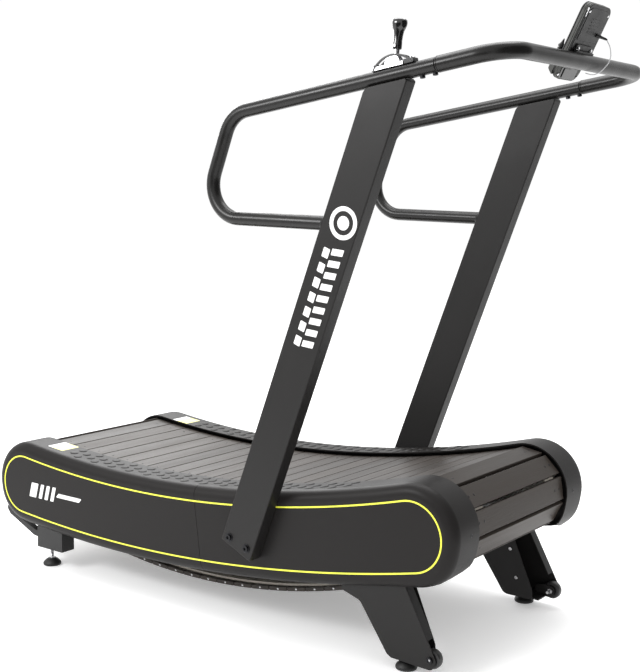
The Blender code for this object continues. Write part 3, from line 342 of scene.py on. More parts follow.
def lathe(profile, centre, axis=Y_AXIS, segments=32, bm=None, sides_from=None):
    """Turns (radius, height) points about an axis; a profile that starts off the axis makes a ring.

    From point number sides_from on, the rings are hexagons, for a socket.
    """
    bm = bmesh.new() if bm is None else bm
    axis = Vector(axis).normalized()
    across = axis.orthogonal().normalized()
    other = axis.cross(across)
    rings = []
    for index, (radius, height) in enumerate(profile):
        middle = Vector(centre) + axis * height
        if radius == 0:
            rings.append([bm.verts.new(middle)] * segments)
            continue
        ring = []
        for k in range(segments):
            turn = tau * k / segments
            reach = radius
            if sides_from is not None and index >= sides_from:
                reach = radius / cos(remainder(turn, tau / 6))
            ring.append(bm.verts.new(middle + (across * cos(turn) + other * sin(turn)) * reach))
        rings.append(ring)
    if profile[0][0] != 0:
        rings.append(rings[0])
    for first, second in zip(rings, rings[1:]):
        for k in range(segments):
            n = (k + 1) % segments
            corners = dict.fromkeys((first[k], first[n], second[n], second[k]))
            if len(corners) > 2:
                bm.faces.new(list(corners))
    return bm


def bent_path(corners, bend, steps=16):
    """(point, direction) stations along straight runs joined by bends of one radius."""
    heading = (corners[1] - corners[0]).normalized()
    stations = [(corners[0], heading)]
    for before, corner, after in zip(corners, corners[1:], corners[2:]):
        heading = (corner - before).normalized()
        leaving = (after - corner).normalized()
        turn = heading.angle(leaving)
        inward = (leaving - heading * heading.dot(leaving)).normalized()
        start = corner - heading * bend * tan(turn / 2)
        for k in range(steps + 1):
            t = turn * k / steps
            point = start + heading * bend * sin(t) + inward * bend * (1 - cos(t))
            stations.append((point, heading * cos(t) + inward * sin(t)))
        heading = leaving
    stations.append((corners[-1], heading))
    return stations


def sweep(stations, radii, flat_normal, segments=32, trim=None):
    """A round bar along stations with closed ends; trim is a (point, normal) plane for the last ring."""
    bm = bmesh.new()
    rings = []
    for index, ((point, heading), radius) in enumerate(zip(stations, radii)):
        other = flat_normal.cross(heading).normalized()
        ring = []
        for k in range(segments):
            t = tau * k / segments
            place = point + (flat_normal * cos(t) + other * sin(t)) * radius
            if trim and index == len(stations) - 1:
                place += heading * (trim[0] - place).dot(trim[1]) / heading.dot(trim[1])
            ring.append(bm.verts.new(place))
        rings.append(ring)
    for first, second in zip(rings, rings[1:]):
        bridge(bm, first, second)
    bm.faces.new(rings[0])
    bm.faces.new(rings[-1])
    return bm


def socket_head(centre, axis, radius, height, bm=None):
    """A cylinder-head bolt's head with a chamfered rim and a hexagon socket."""
    socket = radius * 0.42
    profile = [
        (0, 0), (radius, 0), (radius, height - 0.0008), (radius - 0.0008, height),
        (socket * 1.25, height), (socket, height - 0.0004), (socket, height * 0.4), (0, height * 0.35),
    ]
    return lathe(profile, centre, axis, 24, bm, sides_from=5)


# ---- The covers' banana outline ----
def angle_of(vector):
    return atan2(vector.z, vector.x)


def on_circle(centre, radius, angle):
    return centre + Vector((cos(angle), 0, sin(angle))) * radius


COVER_TOP_RADIUS = TREAD_RADIUS - COVER_CLEARANCE
COVER_END_RADIUS = DRUM_RADIUS + SLAT_THICKNESS + COVER_CLEARANCE
LONG_STEPS = 60
END_STEPS = 30


def centre_above_drums(distance):
    middle = (FRONT_DRUM + REAR_DRUM) / 2
    half = (FRONT_DRUM - REAR_DRUM) / 2
    rise = sqrt(distance**2 - half.length_squared)
    return middle + Vector((-half.z, 0, half.x)).normalized() * rise


COVER_BOTTOM_CENTRE = centre_above_drums(COVER_BOTTOM_RADIUS - COVER_END_RADIUS)


def arc(centre, radius, start, end, steps):
    angles = (start + (end - start) * k / steps for k in range(steps))
    return [on_circle(centre, radius, a) for a in angles]


@lru_cache(maxsize=None)
def banana(inset):
    """The covers' side view, this far inside their outer line: top, front end, bottom, rear end."""
    end_radius = COVER_END_RADIUS - inset
    top_front = angle_of(DECK_CENTRE - FRONT_DRUM)
    top_rear = angle_of(DECK_CENTRE - REAR_DRUM)
    low_front = angle_of(FRONT_DRUM - COVER_BOTTOM_CENTRE)
    low_rear = angle_of(REAR_DRUM - COVER_BOTTOM_CENTRE)
    points = arc(
        DECK_CENTRE, COVER_TOP_RADIUS + inset, top_rear - pi, top_front - pi, LONG_STEPS
    )
    points += arc(FRONT_DRUM, end_radius, top_front, low_front, END_STEPS)
    points += arc(COVER_BOTTOM_CENTRE, COVER_BOTTOM_RADIUS - inset, low_front, low_rear, LONG_STEPS)
    points += arc(REAR_DRUM, end_radius, low_rear + tau, top_rear, END_STEPS)
    return points


def deck_height(x):
    """Height of the foot rail's top face."""
    return DECK_CENTRE.z - sqrt(COVER_TOP_RADIUS**2 - (x - DECK_CENTRE.x) ** 2)


def deck_up(x):
    return (DECK_CENTRE - Vector((x, 0, deck_height(x)))).normalized()


# ---- Covers ----
FILLET_ROWS = [k / 10 for k in range(1, 11)]
TOP_ROWS = [0, 0.5, *(1 + row for row in [0, *FILLET_ROWS])]  # 0 to 1 crosses the foot rail
LOW_ROWS = [1.33 + (2 - 1.33) * k / (len(TOP_ROWS) - 1) for k in range(len(TOP_ROWS))]


def cover_section(row, wall):
    """(y, inset) of a point on the cover's cross-section; wall is 0 outside, COVER_WALL inside."""
    fillet = COVER_FILLET - wall
    centre_y = COVER_OUTER_Y - COVER_FILLET
    if row <= 1:
        return COVER_INNER_Y + (centre_y - COVER_INNER_Y) * row, wall
    turn = (row - 1) * pi / 2
    return centre_y + fillet * sin(turn), round(COVER_FILLET - fillet * cos(turn), 7)


def smooth(share):
    """0 below 0, 1 above 1, and an even ease between them."""
    share = min(max(share, 0), 1)
    return share * share * (3 - 2 * share)


def openness(point):
    """0 where the cover wraps right over the belt, 1 along the open underside."""
    if point.z > FRONT_DRUM.z:
        return 0
    drum = FRONT_DRUM if point.x > 0 else REAR_DRUM
    outward = abs(point.x) - abs(drum.x)
    drop = degrees(atan2(drum.z - point.z, max(outward, 1e-6)))
    first_open, blend_span = 40, 28
    return smooth((drop - first_open) / blend_span)


def bulge(index):
    """How far the cover's underside stands out beyond its drawn outline, most at the front corner."""
    outline = banana(0)
    here = outline[index]
    along = (outline[(index + 1) % len(outline)] - outline[index - 1]).normalized()
    outward = Vector((-along.z, 0, along.x))
    drum = FRONT_DRUM if here.x > 0 else REAR_DRUM
    least, corner_extra, corner_x, corner_reach = 0.0035, 0.006, 0.66, 0.075
    amount = least + corner_extra * exp(-(((here.x - corner_x) / corner_reach) ** 2))
    start_drop, drop_span = 0.02, 0.06
    return outward * (amount * smooth((drum.z - start_drop - here.z) / drop_span))


def cover_shell(sign):
    bm = bmesh.new()
    skins = []
    for wall in (0, COVER_WALL):
        columns = []
        for index, reference in enumerate(banana(0)):
            share = 0 if index <= LONG_STEPS else openness(reference)
            column = []
            for top, low in zip(TOP_ROWS, LOW_ROWS):
                y, inset = cover_section(top + (low - top) * share, wall)
                point = banana(inset)[index] + bulge(index)
                column.append(bm.verts.new((point.x, sign * y, point.z)))
            columns.append(column)
        skins.append(columns)
        bm.faces.new([column[-1] for column in columns])
        for first, second in zip(columns, columns[1:] + columns[:1]):
            for low, high in zip(range(len(first) - 1), range(1, len(first))):
                bm.faces.new((first[low], second[low], second[high], first[high]))
    bridge(bm, *([column[0] for column in columns] for columns in skins))
    return bm


def seam_plane(facing):
    along = Vector((cos(SEAM_LEAN), 0, sin(SEAM_LEAN)))
    return Vector((SEAM_X, 0, SEAM_Z)) - along * facing * SEAM_HALF_GAP, along * facing


def cut_off(bm, point, normal):
    """Removes what lies on the normal's side of a plane and closes the cut."""
    everything = bm.verts[:] + bm.edges[:] + bm.faces[:]
    bmesh.ops.bisect_plane(
        bm, geom=everything, dist=1e-6, plane_co=point, plane_no=normal, clear_outer=True
    )
    rim = [edge for edge in bm.edges if len(edge.link_faces) == 1]
    bmesh.ops.triangle_fill(bm, edges=rim, use_beauty=True)


def make_covers():
    for side, sign in SIDES.items():
        for end, facing in (("rear", 1), ("front", -1)):
            bm = cover_shell(sign)
            bmesh.ops.recalc_face_normals(bm, faces=bm.faces[:])
            cut_off(bm, *seam_plane(facing))
            build(f"cover_{end}_{side}", bm, COVER,
                  replaces=[f"side_cover_{end}_{side}"])


def make_domes():
    """Four staggered rows of shallow round domes on each foot rail."""
    rings = ((1.0, 0.0), (0.96, 0.3), (0.86, 0.62), (0.66, 0.84), (0.36, 0.97), (0, 1.0))
    profile = [(0, -0.0022), (DOME_RADIUS, -0.0022)]
    profile += [(DOME_RADIUS * r, DOME_HEIGHT * h) for r, h in rings]
    for side, sign in SIDES.items():
        bm = bmesh.new()
        for y, phase in DOME_ROWS:
            count = int((DOME_END - DOME_START) / DOME_PITCH - phase) + 1
            for k in range(count):
                x = DOME_START + (k + phase) * DOME_PITCH
                lathe(profile, (x, sign * y, deck_height(x)), deck_up(x), 24, bm)
        build(f"foot_rail_domes_{side}", bm, COVER, sharp=60)


def make_stripes():
    """A thin yellow line that runs round each cover's outer face."""
    for side, sign in SIDES.items():
        bm = bmesh.new()
        loops = []
        for inset in (STRIPE_INSET - STRIPE_WIDTH / 2, STRIPE_INSET + STRIPE_WIDTH / 2):
            for y in (COVER_OUTER_Y + d for d in PRINT_DEPTHS):
                points = banana(round(inset, 7))
                loops.append([bm.verts.new((p.x, sign * y, p.z - STRIPE_DROP)) for p in points])
        for first, second in ((0, 1), (1, 3), (3, 2), (2, 0)):
            bridge(bm, loops[first], loops[second])
        build(f"cover_stripe_{side}", bm, YELLOW)


def deck_patch(x_range, y_range, sign, height, steps=6):
    """A thin sticker that follows the foot rail's curve."""
    bm = bmesh.new()
    layers = []
    for lift in (-0.0002, height):
        rows = []
        for k in range(steps + 1):
            x = x_range[0] + (x_range[1] - x_range[0]) * k / steps
            middle = Vector((x, 0, deck_height(x))) + deck_up(x) * lift
            rows.append([bm.verts.new(middle + Y_AXIS * sign * y) for y in y_range])
        layers.append(rows)
    for rows in layers:
        for first, second in zip(rows, rows[1:]):
            bm.faces.new((first[0], second[0], second[1], first[1]))
    outlines = [[row[0] for row in rows] + [row[1] for row in rows[::-1]] for rows in layers]
    bridge(bm, *outlines)
    return bm


def make_labels():
    """A blank white and yellow sticker near the rear of each foot rail."""
    split = LABEL_X[0] + (LABEL_X[1] - LABEL_X[0]) * 0.3
    for side, sign in SIDES.items():
        white = deck_patch((LABEL_X[0], split), LABEL_Y, sign, 0.0003)
        build(f"blank_label_white_{side}", white, WHITE)
        yellow = deck_patch((split, LABEL_X[1]), LABEL_Y, sign, 0.0003)
        build(f"blank_label_yellow_{side}", yellow, LABEL_YELLOW)


def make_cover_print():
    """Slanted white bars in place of a mark, on the rear of each cover's outer face."""
    start, low, high, slant = -0.742, 0.214, 0.258, 0.012
    bars = ((0.0, 0.03), (0.042, 0.014), (0.068, 0.014), (0.094, 0.014), (0.12, 0.1))
    for side, sign in SIDES.items():
        bm = bmesh.new()
        for offset, width in bars:
            drop = (high - low) * (0.36 if width > 0.05 else 0)
            left, right = start + offset, start + offset + width
            corners = [
                (left, low + drop), (right, low + drop),
                (right + slant, high - drop), (left + slant, high - drop),
            ]
            outline = rounded(corners, [0.002] * 4, 3)
            slab(outline, *(sign * (COVER_OUTER_Y + d) for d in PRINT_DEPTHS), bm=bm)
        build(f"cover_bars_{side}", bm, WHITE)


def make_cover_screws():
    """A sunk screw in each end of each cover, in the band that wraps the drum."""
    for side, sign in SIDES.items():
        bm = bmesh.new()
        for drum, angle in ((FRONT_DRUM, radians(1.5)), (REAR_DRUM, radians(178.5))):
            outward = on_circle(Vector(), 1, angle)
            place = on_circle(drum, COVER_END_RADIUS - 0.0012, angle) + Y_AXIS * sign * 0.273
            socket_head(place, outward, 0.0052, 0.0016, bm)
        build(f"cover_screws_{side}", bm, BOLT)


# ---- Slat belt ----
PITCH_RADIUS = TREAD_RADIUS + SLAT_THICKNESS


def belt_runs():
    """The pitch line as four arcs, in running order: (centre, radius, start angle, end angle)."""
    top_front = angle_of(DECK_CENTRE - FRONT_DRUM)
    top_rear = angle_of(DECK_CENTRE - REAR_DRUM)
    low_front = angle_of(FRONT_DRUM - RETURN_CENTRE)
    low_rear = angle_of(REAR_DRUM - RETURN_CENTRE)
    return [
        (DECK_CENTRE, PITCH_RADIUS, top_front - pi, top_rear - pi),
        (REAR_DRUM, DRUM_RADIUS, top_rear, low_rear + tau),
        (RETURN_CENTRE, RETURN_RADIUS, low_rear, low_front),
        (FRONT_DRUM, DRUM_RADIUS, low_front, top_front),
    ]


def on_run(run, distance):
    """(point, outward direction) at a distance along one arc, which may run on past its ends."""
    centre, radius, start, end = belt_runs()[run]
    angle = start + copysign(1 / radius, end - start) * distance
    outward = Vector((cos(angle), 0, sin(angle)))
    return centre + outward * radius, -outward if run == 0 else outward


def make_slat_group(name, body, run, first, count, pitch):
    """One rigid group of the belt: its slats, their screws, and the two strips that carry them."""
    slats, strips, screws, ends = bmesh.new(), bmesh.new(), bmesh.new(), bmesh.new()
    half = (pitch - SLAT_GAP) / 2
    tones = {}
    draw = random.Random(run + 3)
    for k in range(count):
        point, outward = on_run(run, first + (k + 0.5) * pitch)
        along = Vector((outward.z, 0, -outward.x))
        section = rounded(
            [(-half, 0.0), (half, 0.0), (half, SLAT_THICKNESS), (-half, SLAT_THICKNESS)],
            [0, 0, 0.0016, 0.0016], 3,
        )

        def across(u, w, y):
            return point + along * u + outward * w + Y_AXIS * y

        slab(section, -SLAT_HALF_LENGTH, SLAT_HALF_LENGTH, across, slats)
        tones[k] = (point.copy(), draw.uniform(-1, 1))
        for sign in SIDES.values():
            for y in SLAT_SCREW_Y:
                profile = [
                    (0, -0.0008), (0.0034, -0.0008), (0.0034, 0.0001), (0.003, 0.0004),
                    (0.0016, 0.0004), (0.0014, -0.0001), (0, -0.0001),
                ]
                place = point + outward * SLAT_THICKNESS + Y_AXIS * sign * y
                lathe(profile, place, outward, 16, screws)
            dot = [(0, -0.001), (0.003, -0.001), (0.003, 0.0004), (0.0016, 0.0012), (0, 0.0014)]
            place = point + outward * SLAT_THICKNESS * 0.45 + Y_AXIS * sign * SLAT_HALF_LENGTH
            lathe(dot, place, Y_AXIS * sign, 12, ends)

    def tone(centre):
        return min(tones.values(), key=lambda entry: (entry[0] - centre).xz.length)[1]

    build(f"slats_{name}", slats, SLAT, body, [f"slat_belt_{name}"], tones=tone)
    build(f"slat_screws_{name}", screws, BOLT, body)
    build(f"slat_end_pins_{name}", ends, STEEL, body)
    steps = count * 3
    outer, inner = [], []
    for k in range(steps + 1):
        distance = first + SLAT_GAP / 2 + (count * pitch - SLAT_GAP) * k / steps
        point, outward = on_run(run, distance)
        outer.append(point - outward * 0.0001)
        inner.append(point - outward * BELT_THICKNESS)
    outline = [(p.x, p.z) for p in outer + inner[::-1]]
    for sign in SIDES.values():
        edges = (sign * BELT_Y - BELT_WIDTH / 2, sign * BELT_Y + BELT_WIDTH / 2)
        slab(outline, *edges, bm=strips)
    build(f"belt_strips_{name}", strips, BELT, body)


def make_slat_belt():
    lengths = [radius * abs(end - start) for _, radius, start, end in belt_runs()]
    pitch = sum(lengths) / SLAT_COUNT
    upper, wrap, lower, _ = lengths
    overhang = (UPPER_SLATS * pitch - upper) / 2
    lower_slats = SLAT_COUNT - UPPER_SLATS - 2 * DRUM_SLATS
    groups = (
        ("upper", "belt_upper", -overhang, UPPER_SLATS),
        ("rear", "rear_drum", overhang, DRUM_SLATS),
        ("lower", "belt_lower", (lower - lower_slats * pitch) / 2, lower_slats),
        ("front", "front_drum", wrap - overhang - DRUM_SLATS * pitch, DRUM_SLATS),
    )
    for run, (name, body, first, count) in enumerate(groups):
        make_slat_group(name, body, run, first, count, pitch)


# ---- Uprights, handrails and front bar ----
def rail_height(x):
    return RAIL_FRONT[1] + (x - RAIL_FRONT[0]) * tan(RAIL_SLOPE)


def rail_direction():
    return Vector((cos(RAIL_SLOPE), 0, sin(RAIL_SLOPE)))


def rail_up():
    return Vector((-sin(RAIL_SLOPE), 0, cos(RAIL_SLOPE)))


def upright_corners(inset=0.0):
    """Rear bottom, front bottom, front top and rear top of the upright's face."""
    lean = tan(UPRIGHT_LEAN)
    depth = UPRIGHT_DEPTH / cos(UPRIGHT_LEAN)
    side_inset = inset / cos(UPRIGHT_LEAN)
    drop = (RAIL_RADIUS + GAP) / cos(RAIL_SLOPE)
    top_rise = tan(RAIL_SLOPE)
    (x1, z1), (x2, z2) = UPRIGHT_CUT
    cut_rise = (z2 - z1) / (x2 - x1)
    points = []
    for offset in (side_inset - UPRIGHT_REAR_EXTRA, depth - side_inset + UPRIGHT_FRONT_EXTRA):
        foot = UPRIGHT_FOOT_X + offset
        top_z = (rail_height(0) - drop + top_rise * foot) / (1 - top_rise * lean)
        low_z = (z1 + cut_rise * (foot - x1)) / (1 - cut_rise * lean)
        points.append(((foot + low_z * lean, low_z), (foot + top_z * lean, top_z)))
    (rear_low, rear_top), (front_low, front_top) = points
    return [rear_low, front_low, front_top, rear_top]


def make_uprights():
    for side, sign in SIDES.items():
        y_pair = [sign * y for y in UPRIGHT_Y]
        outline = rounded(upright_corners(), [0.003, 0.003, 0.006, 0.024], 8)
        build(f"upright_tube_{side}", slab(outline, *y_pair), POWDER,
              replaces=[f"upright_{side}"], bevel=0.0032)
        inner = [sign * (UPRIGHT_Y[0] + 0.005), sign * (UPRIGHT_Y[1] - 0.005)]
        corners = upright_corners(0.004)
        rear_top, front_top = Vector(corners[3]), Vector(corners[2])
        down = Vector((-sin(UPRIGHT_LEAN), -cos(UPRIGHT_LEAN))) * 0.05
        cap = [tuple(rear_top + down), tuple(front_top + down), tuple(front_top), tuple(rear_top)]
        build(f"upright_cap_{side}", slab(cap, *inner), RAIL, bevel=0.001)


def on_upright(along, across, depth):
    """A point on the upright's face: along it from the floor, across it from the rear edge."""
    lean = Vector((sin(UPRIGHT_LEAN), 0, cos(UPRIGHT_LEAN)))
    forward = Vector((cos(UPRIGHT_LEAN), 0, -sin(UPRIGHT_LEAN)))
    origin = Vector((UPRIGHT_FOOT_X, 0, 0))
    return origin + lean * along + forward * across + Y_AXIS * depth


def make_upright_print():
    """Plain white bars, dashes and a roundel in place of a mark, on the outside of each upright."""
    low, high = 0.846, 1.118
    for side, sign in SIDES.items():
        depths = [sign * (UPRIGHT_Y[1] + d) for d in PRINT_DEPTHS]
        bm = bmesh.new()
        bars = 9
        step = (high - low) / bars
        for k in range(bars):
            base = low + k * step
            corners = [
                (base, 0.0535), (base + step * 0.55, 0.0535),
                (base + step * 0.85, 0.0865), (base + step * 0.3, 0.0865),
            ]
            slab(rounded(corners, [0.0015] * 4, 3), *depths, on_upright, bm)
        dashes = 7
        step = (high - low) / dashes
        for k in range(dashes):
            base = low - 0.004 + k * step
            outline = rounded_box((base, 0.029), (base + step * 0.62, 0.048), 0.002, 3)
            slab(outline, *depths, on_upright, bm)
        middle = on_upright(1.172, 0.06, 0) + Y_AXIS * depths[0]
        outward = Y_AXIS * sign
        lathe([(0.04, 0), (0.04, 0.0005), (0.029, 0.0005), (0.029, 0)], middle, outward, 48, bm)
        lathe(disc(0.017, 0, 0.0005), middle, outward, 36, bm)
        build(f"upright_bars_{side}", bm, WHITE)


def make_handrails():
    lean = tan(UPRIGHT_LEAN)
    rise = tan(RAIL_SLOPE)
    foot = -RAIL_LEG_OFFSET
    top_z = (rail_height(0) + rise * foot) / (1 - rise * lean)
    upright_rear = UPRIGHT_FOOT_X + RAIL_LOW_Z * lean - GAP
    normal = Vector((cos(UPRIGHT_LEAN), 0, -sin(UPRIGHT_LEAN)))
    for side, sign in SIDES.items():
        y = sign * RAIL_Y
        corners = [
            Vector((RAIL_FRONT[0] - GAP, y, RAIL_FRONT[1])),
            Vector((foot + top_z * lean, y, top_z)),
            Vector((foot + RAIL_LOW_Z * lean, y, RAIL_LOW_Z)),
            Vector((upright_rear - 0.004, y, RAIL_LOW_Z - 0.006)),
        ]
        stations = bent_path(corners, RAIL_BEND)
        start, heading = stations[0]
        stations[:1] = [(start, heading), (start + heading * 0.0012, heading)]
        radii = [RAIL_LOOK_RADIUS - 0.0012] + [RAIL_LOOK_RADIUS] * (len(stations) - 1)
        trim = (Vector((upright_rear - GAP, y, RAIL_LOW_Z)), normal)
        build(f"handrail_tube_{side}", sweep(stations, radii, Y_AXIS, trim=trim), RAIL,
              replaces=[f"handrail_{side}"])
        weld = [(0, -0.0035), (RAIL_LOOK_RADIUS + 0.003, -0.0035), (RAIL_LOOK_RADIUS + 0.0005, 0.0025),
                (0, 0.0025)]
        end = stations[-1][0] - stations[-1][1] * 0.001
        build(f"handrail_weld_{side}", lathe(weld, end, -normal, 32), RAIL)


def make_front_bar():
    direction = rail_direction()
    ends = [Vector((RAIL_FRONT[0], sign * RAIL_Y, RAIL_FRONT[1])) for sign in (-1, 1)]
    reach = (BAR_FRONT_X - RAIL_FRONT[0]) / direction.x
    corners = [ends[0], ends[0] + direction * reach, ends[1] + direction * reach, ends[1]]
    path = bent_path(corners, BAR_BEND)
    (start, _), (last, _) = path[0], path[-1]
    groove, lip = 0.0045, 0.0015
    steps = ((0.001, -0.0015), (0.0022, 0), (groove, 0), (groove, -0.0012), (groove + lip, -0.0012),
             (groove + lip, 0))
    stations = [(start + direction * d, direction) for d, _ in steps]
    radii = [BAR_RADIUS + r for _, r in steps]
    tail = [(last + direction * d, -direction) for d, _ in steps[::-1]]
    stations += path[1:-1] + tail
    radii += [BAR_RADIUS] * (len(path) - 2) + [BAR_RADIUS + r for _, r in steps[::-1]]
    bm = sweep(stations, radii, direction.cross(Y_AXIS), 36)
    build("front_bar", bm, RAIL, replaces=["front_handlebar"])


def make_bolts():
    """Heads for the frame's fasteners, where their nodes stand, and the wheels' bolts with their nuts."""
    down = -rail_up()
    for side, sign in SIDES.items():
        for number in (1, 2):
            node = f"upright_bolt_{side}_{number}"
            low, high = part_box(node)
            middle = (low + high) / 2
            seat = Vector((middle.x, sign * (UPRIGHT_Y[1] + GAP), middle.z))
            bm = socket_head(seat, Y_AXIS * sign, 0.0088, 0.006)
            washer = [(0, -0.0002), (0.0122, -0.0002), (0.0122, 0.001), (0.0116, 0.0014), (0, 0.0014)]
            lathe(washer, seat, Y_AXIS * sign, 28, bm)
            build(f"upright_socket_bolt_{side}_{number}", bm, BOLT, replaces=[node])
        for number, back in enumerate((0.008, 0.042), 1):
            middle = Vector((RAIL_FRONT[0], sign * RAIL_Y, RAIL_FRONT[1])) - rail_direction() * back
            seat = middle + down * (RAIL_RADIUS + 0.0006)
            bm = socket_head(seat, down, 0.0062, 0.006)
            build(f"bar_socket_bolt_{side}_{number}", bm, BOLT,
                  replaces=[f"bar_bolt_{side}_{number}"])
        wheel = JOINT[f"{side}_wheel_spin"]
        seat = Vector((wheel.x, sign * (LEG_Y[1][1] + GAP), wheel.z))
        bm = socket_head(seat, Y_AXIS * sign, 0.0082, 0.0046)
        build(f"wheel_bolt_head_{side}", bm, BOLT)
        axle = lathe([(0, 0.0018), (0.0032, 0.0018), (0.004, 0.001), (0.004, -0.05), (0, -0.05)], seat,
                     Y_AXIS * sign, 20)
        nut = seat - Y_AXIS * sign * (LEG_Y[1][1] + GAP - LEG_TAB_Y[0] + GAP)
        lathe(disc(0.0066, 0, 0.0045), nut, -Y_AXIS * sign, 12, axle, 1)
        build(f"wheel_bolt_{side}", axle, STEEL, replaces=[f"wheel_axle_{side}"])


# ---- Lever ----
def on_gate(along, up, y):
    """A point of the gate: along the handrail, up from its top, and across it."""
    base = Vector((LEVER_PIVOT.x, -RAIL_Y, rail_height(LEVER_PIVOT.x)))
    seat = base + rail_up() * (RAIL_RADIUS + GAP)
    return seat + rail_direction() * along + rail_up() * up + Y_AXIS * y


def dome_line(radius, centre_up, steps=28):
    """The part of a circle above the gate's base line."""
    spread = acos(min(-centre_up / radius, 1)) if centre_up < 0 else pi / 2
    turns = (spread - 2 * spread * k / steps for k in range(steps + 1))
    return [(radius * sin(t), centre_up + radius * cos(t)) for t in turns]


def make_gate():
    arch_radius = (GATE_HALF_LENGTH**2 + GATE_HEIGHT**2) / (2 * GATE_HEIGHT)
    centre = GATE_HEIGHT - arch_radius
    outer = dome_line(arch_radius, centre)
    inner = dome_line(arch_radius - 0.0045, centre)
    arch = bmesh.new()
    for low, high in ((-0.012, -0.0078), (0.0078, 0.012)):
        slab(outer + inner[::-1], low, high, on_gate, arch)
    for reach in (-1, 1):
        ends = [p for p in outer if p[0] * reach > 0.04]
        under = [p for p in inner if p[0] * reach > 0.04]
        slab(ends + under[::-1], -0.0079, 0.0079, on_gate, arch)
    build("gate_arch", arch, PLASTIC, replaces=["lever_gate"], bevel=0.0004)
    plate = slab(rounded_box((-0.056, 0), (0.03, 0.0085), 0.002, 4), -0.0115, 0.0115, on_gate)
    build("gate_plate", plate, STEEL, bevel=0.0008)
    cheeks = bmesh.new()
    cheek = [(u, w + 0.0085) for u, w in dome_line(0.02, 0)]
    for low, high in ((-0.01, -0.0075), (0.0075, 0.01)):
        slab(cheek, low, high, on_gate, cheeks)
    build("gate_cheeks", cheeks, STEEL, bevel=0.0006)
    block = slab(rounded_box((0.031, 0), (0.058, 0.011), 0.003, 4), -0.011, 0.011, on_gate)
    build("gate_front_block", block, PLASTIC, bevel=0.001)
    bits = bmesh.new()
    for along, up in ((0.037, 0.011), (0.05, 0.011)):
        for y in (-0.006, 0.006):
            lathe([(0, 0), (0.003, 0), (0.003, 0.003), (0.0022, 0.0038), (0, 0.004)],
                  on_gate(along, up, y), rail_up(), 16, bits)
    lathe([(0, -0.0128), (0.003, -0.0128), (0.0034, -0.0122), (0.0034, 0.0122), (0.003, 0.0128),
           (0, 0.0128)], on_gate(-0.052, 0.012, 0), Y_AXIS, 16, bits)
    build("gate_fixings", bits, STEEL)


def make_lever():
    lean = Vector((sin(LEVER_TILT), 0, cos(LEVER_TILT)))
    body = "resistance_lever"
    shaft = lathe(disc(0.0065, 0, 0.069), LEVER_PIVOT, lean, 32)
    lathe([(0, -0.0068), (0.0082, -0.0068), (0.0088, -0.006), (0.0088, 0.006), (0.0082, 0.0068),
           (0, 0.0068)], LEVER_PIVOT, Y_AXIS, 32, shaft)
    build("lever_stem", shaft, CHROME, body, ["lever_shaft"])
    start, end = 0.0265, 0.0965
    key_points = (
        (0.0096, 0.0), (0.0106, 0.002), (0.0106, 0.014), (0.01, 0.018), (0.0108, 0.03), (0.0126, 0.04),
        (0.016, 0.047), (0.0186, 0.0535), (0.0192, 0.06), (0.018, 0.0652), (0.014, 0.0682),
        (0.008, 0.0694),
    )
    profile = [(0, 0.0705), (0.0068, 0.0705), (0.0068, start + 0.0012), (0.008, start)]
    profile += [(radius, start + height + 0.0006) for radius, height in key_points]
    profile.append((0, end))
    knob = lathe(profile, LEVER_PIVOT, lean, 48)
    flattening, neck, span = 0.2, 0.026, 0.022
    for vertex in knob.verts:
        height = (vertex.co - LEVER_PIVOT).dot(lean)
        share = min(max((height - start - neck) / span, 0), 1)
        vertex.co.y = LEVER_PIVOT.y + (vertex.co.y - LEVER_PIVOT.y) * (1 - flattening * share)
    build("lever_grip", knob, GLOSS, body, ["lever_knob"], sharp=50)
    screw_place = LEVER_PIVOT + lean * (start + 0.008) - Y_AXIS * 0.01
    screw = socket_head(screw_place, -Y_AXIS, 0.0032, 0.0022)
    build("lever_grip_screw", screw, STEEL, body)


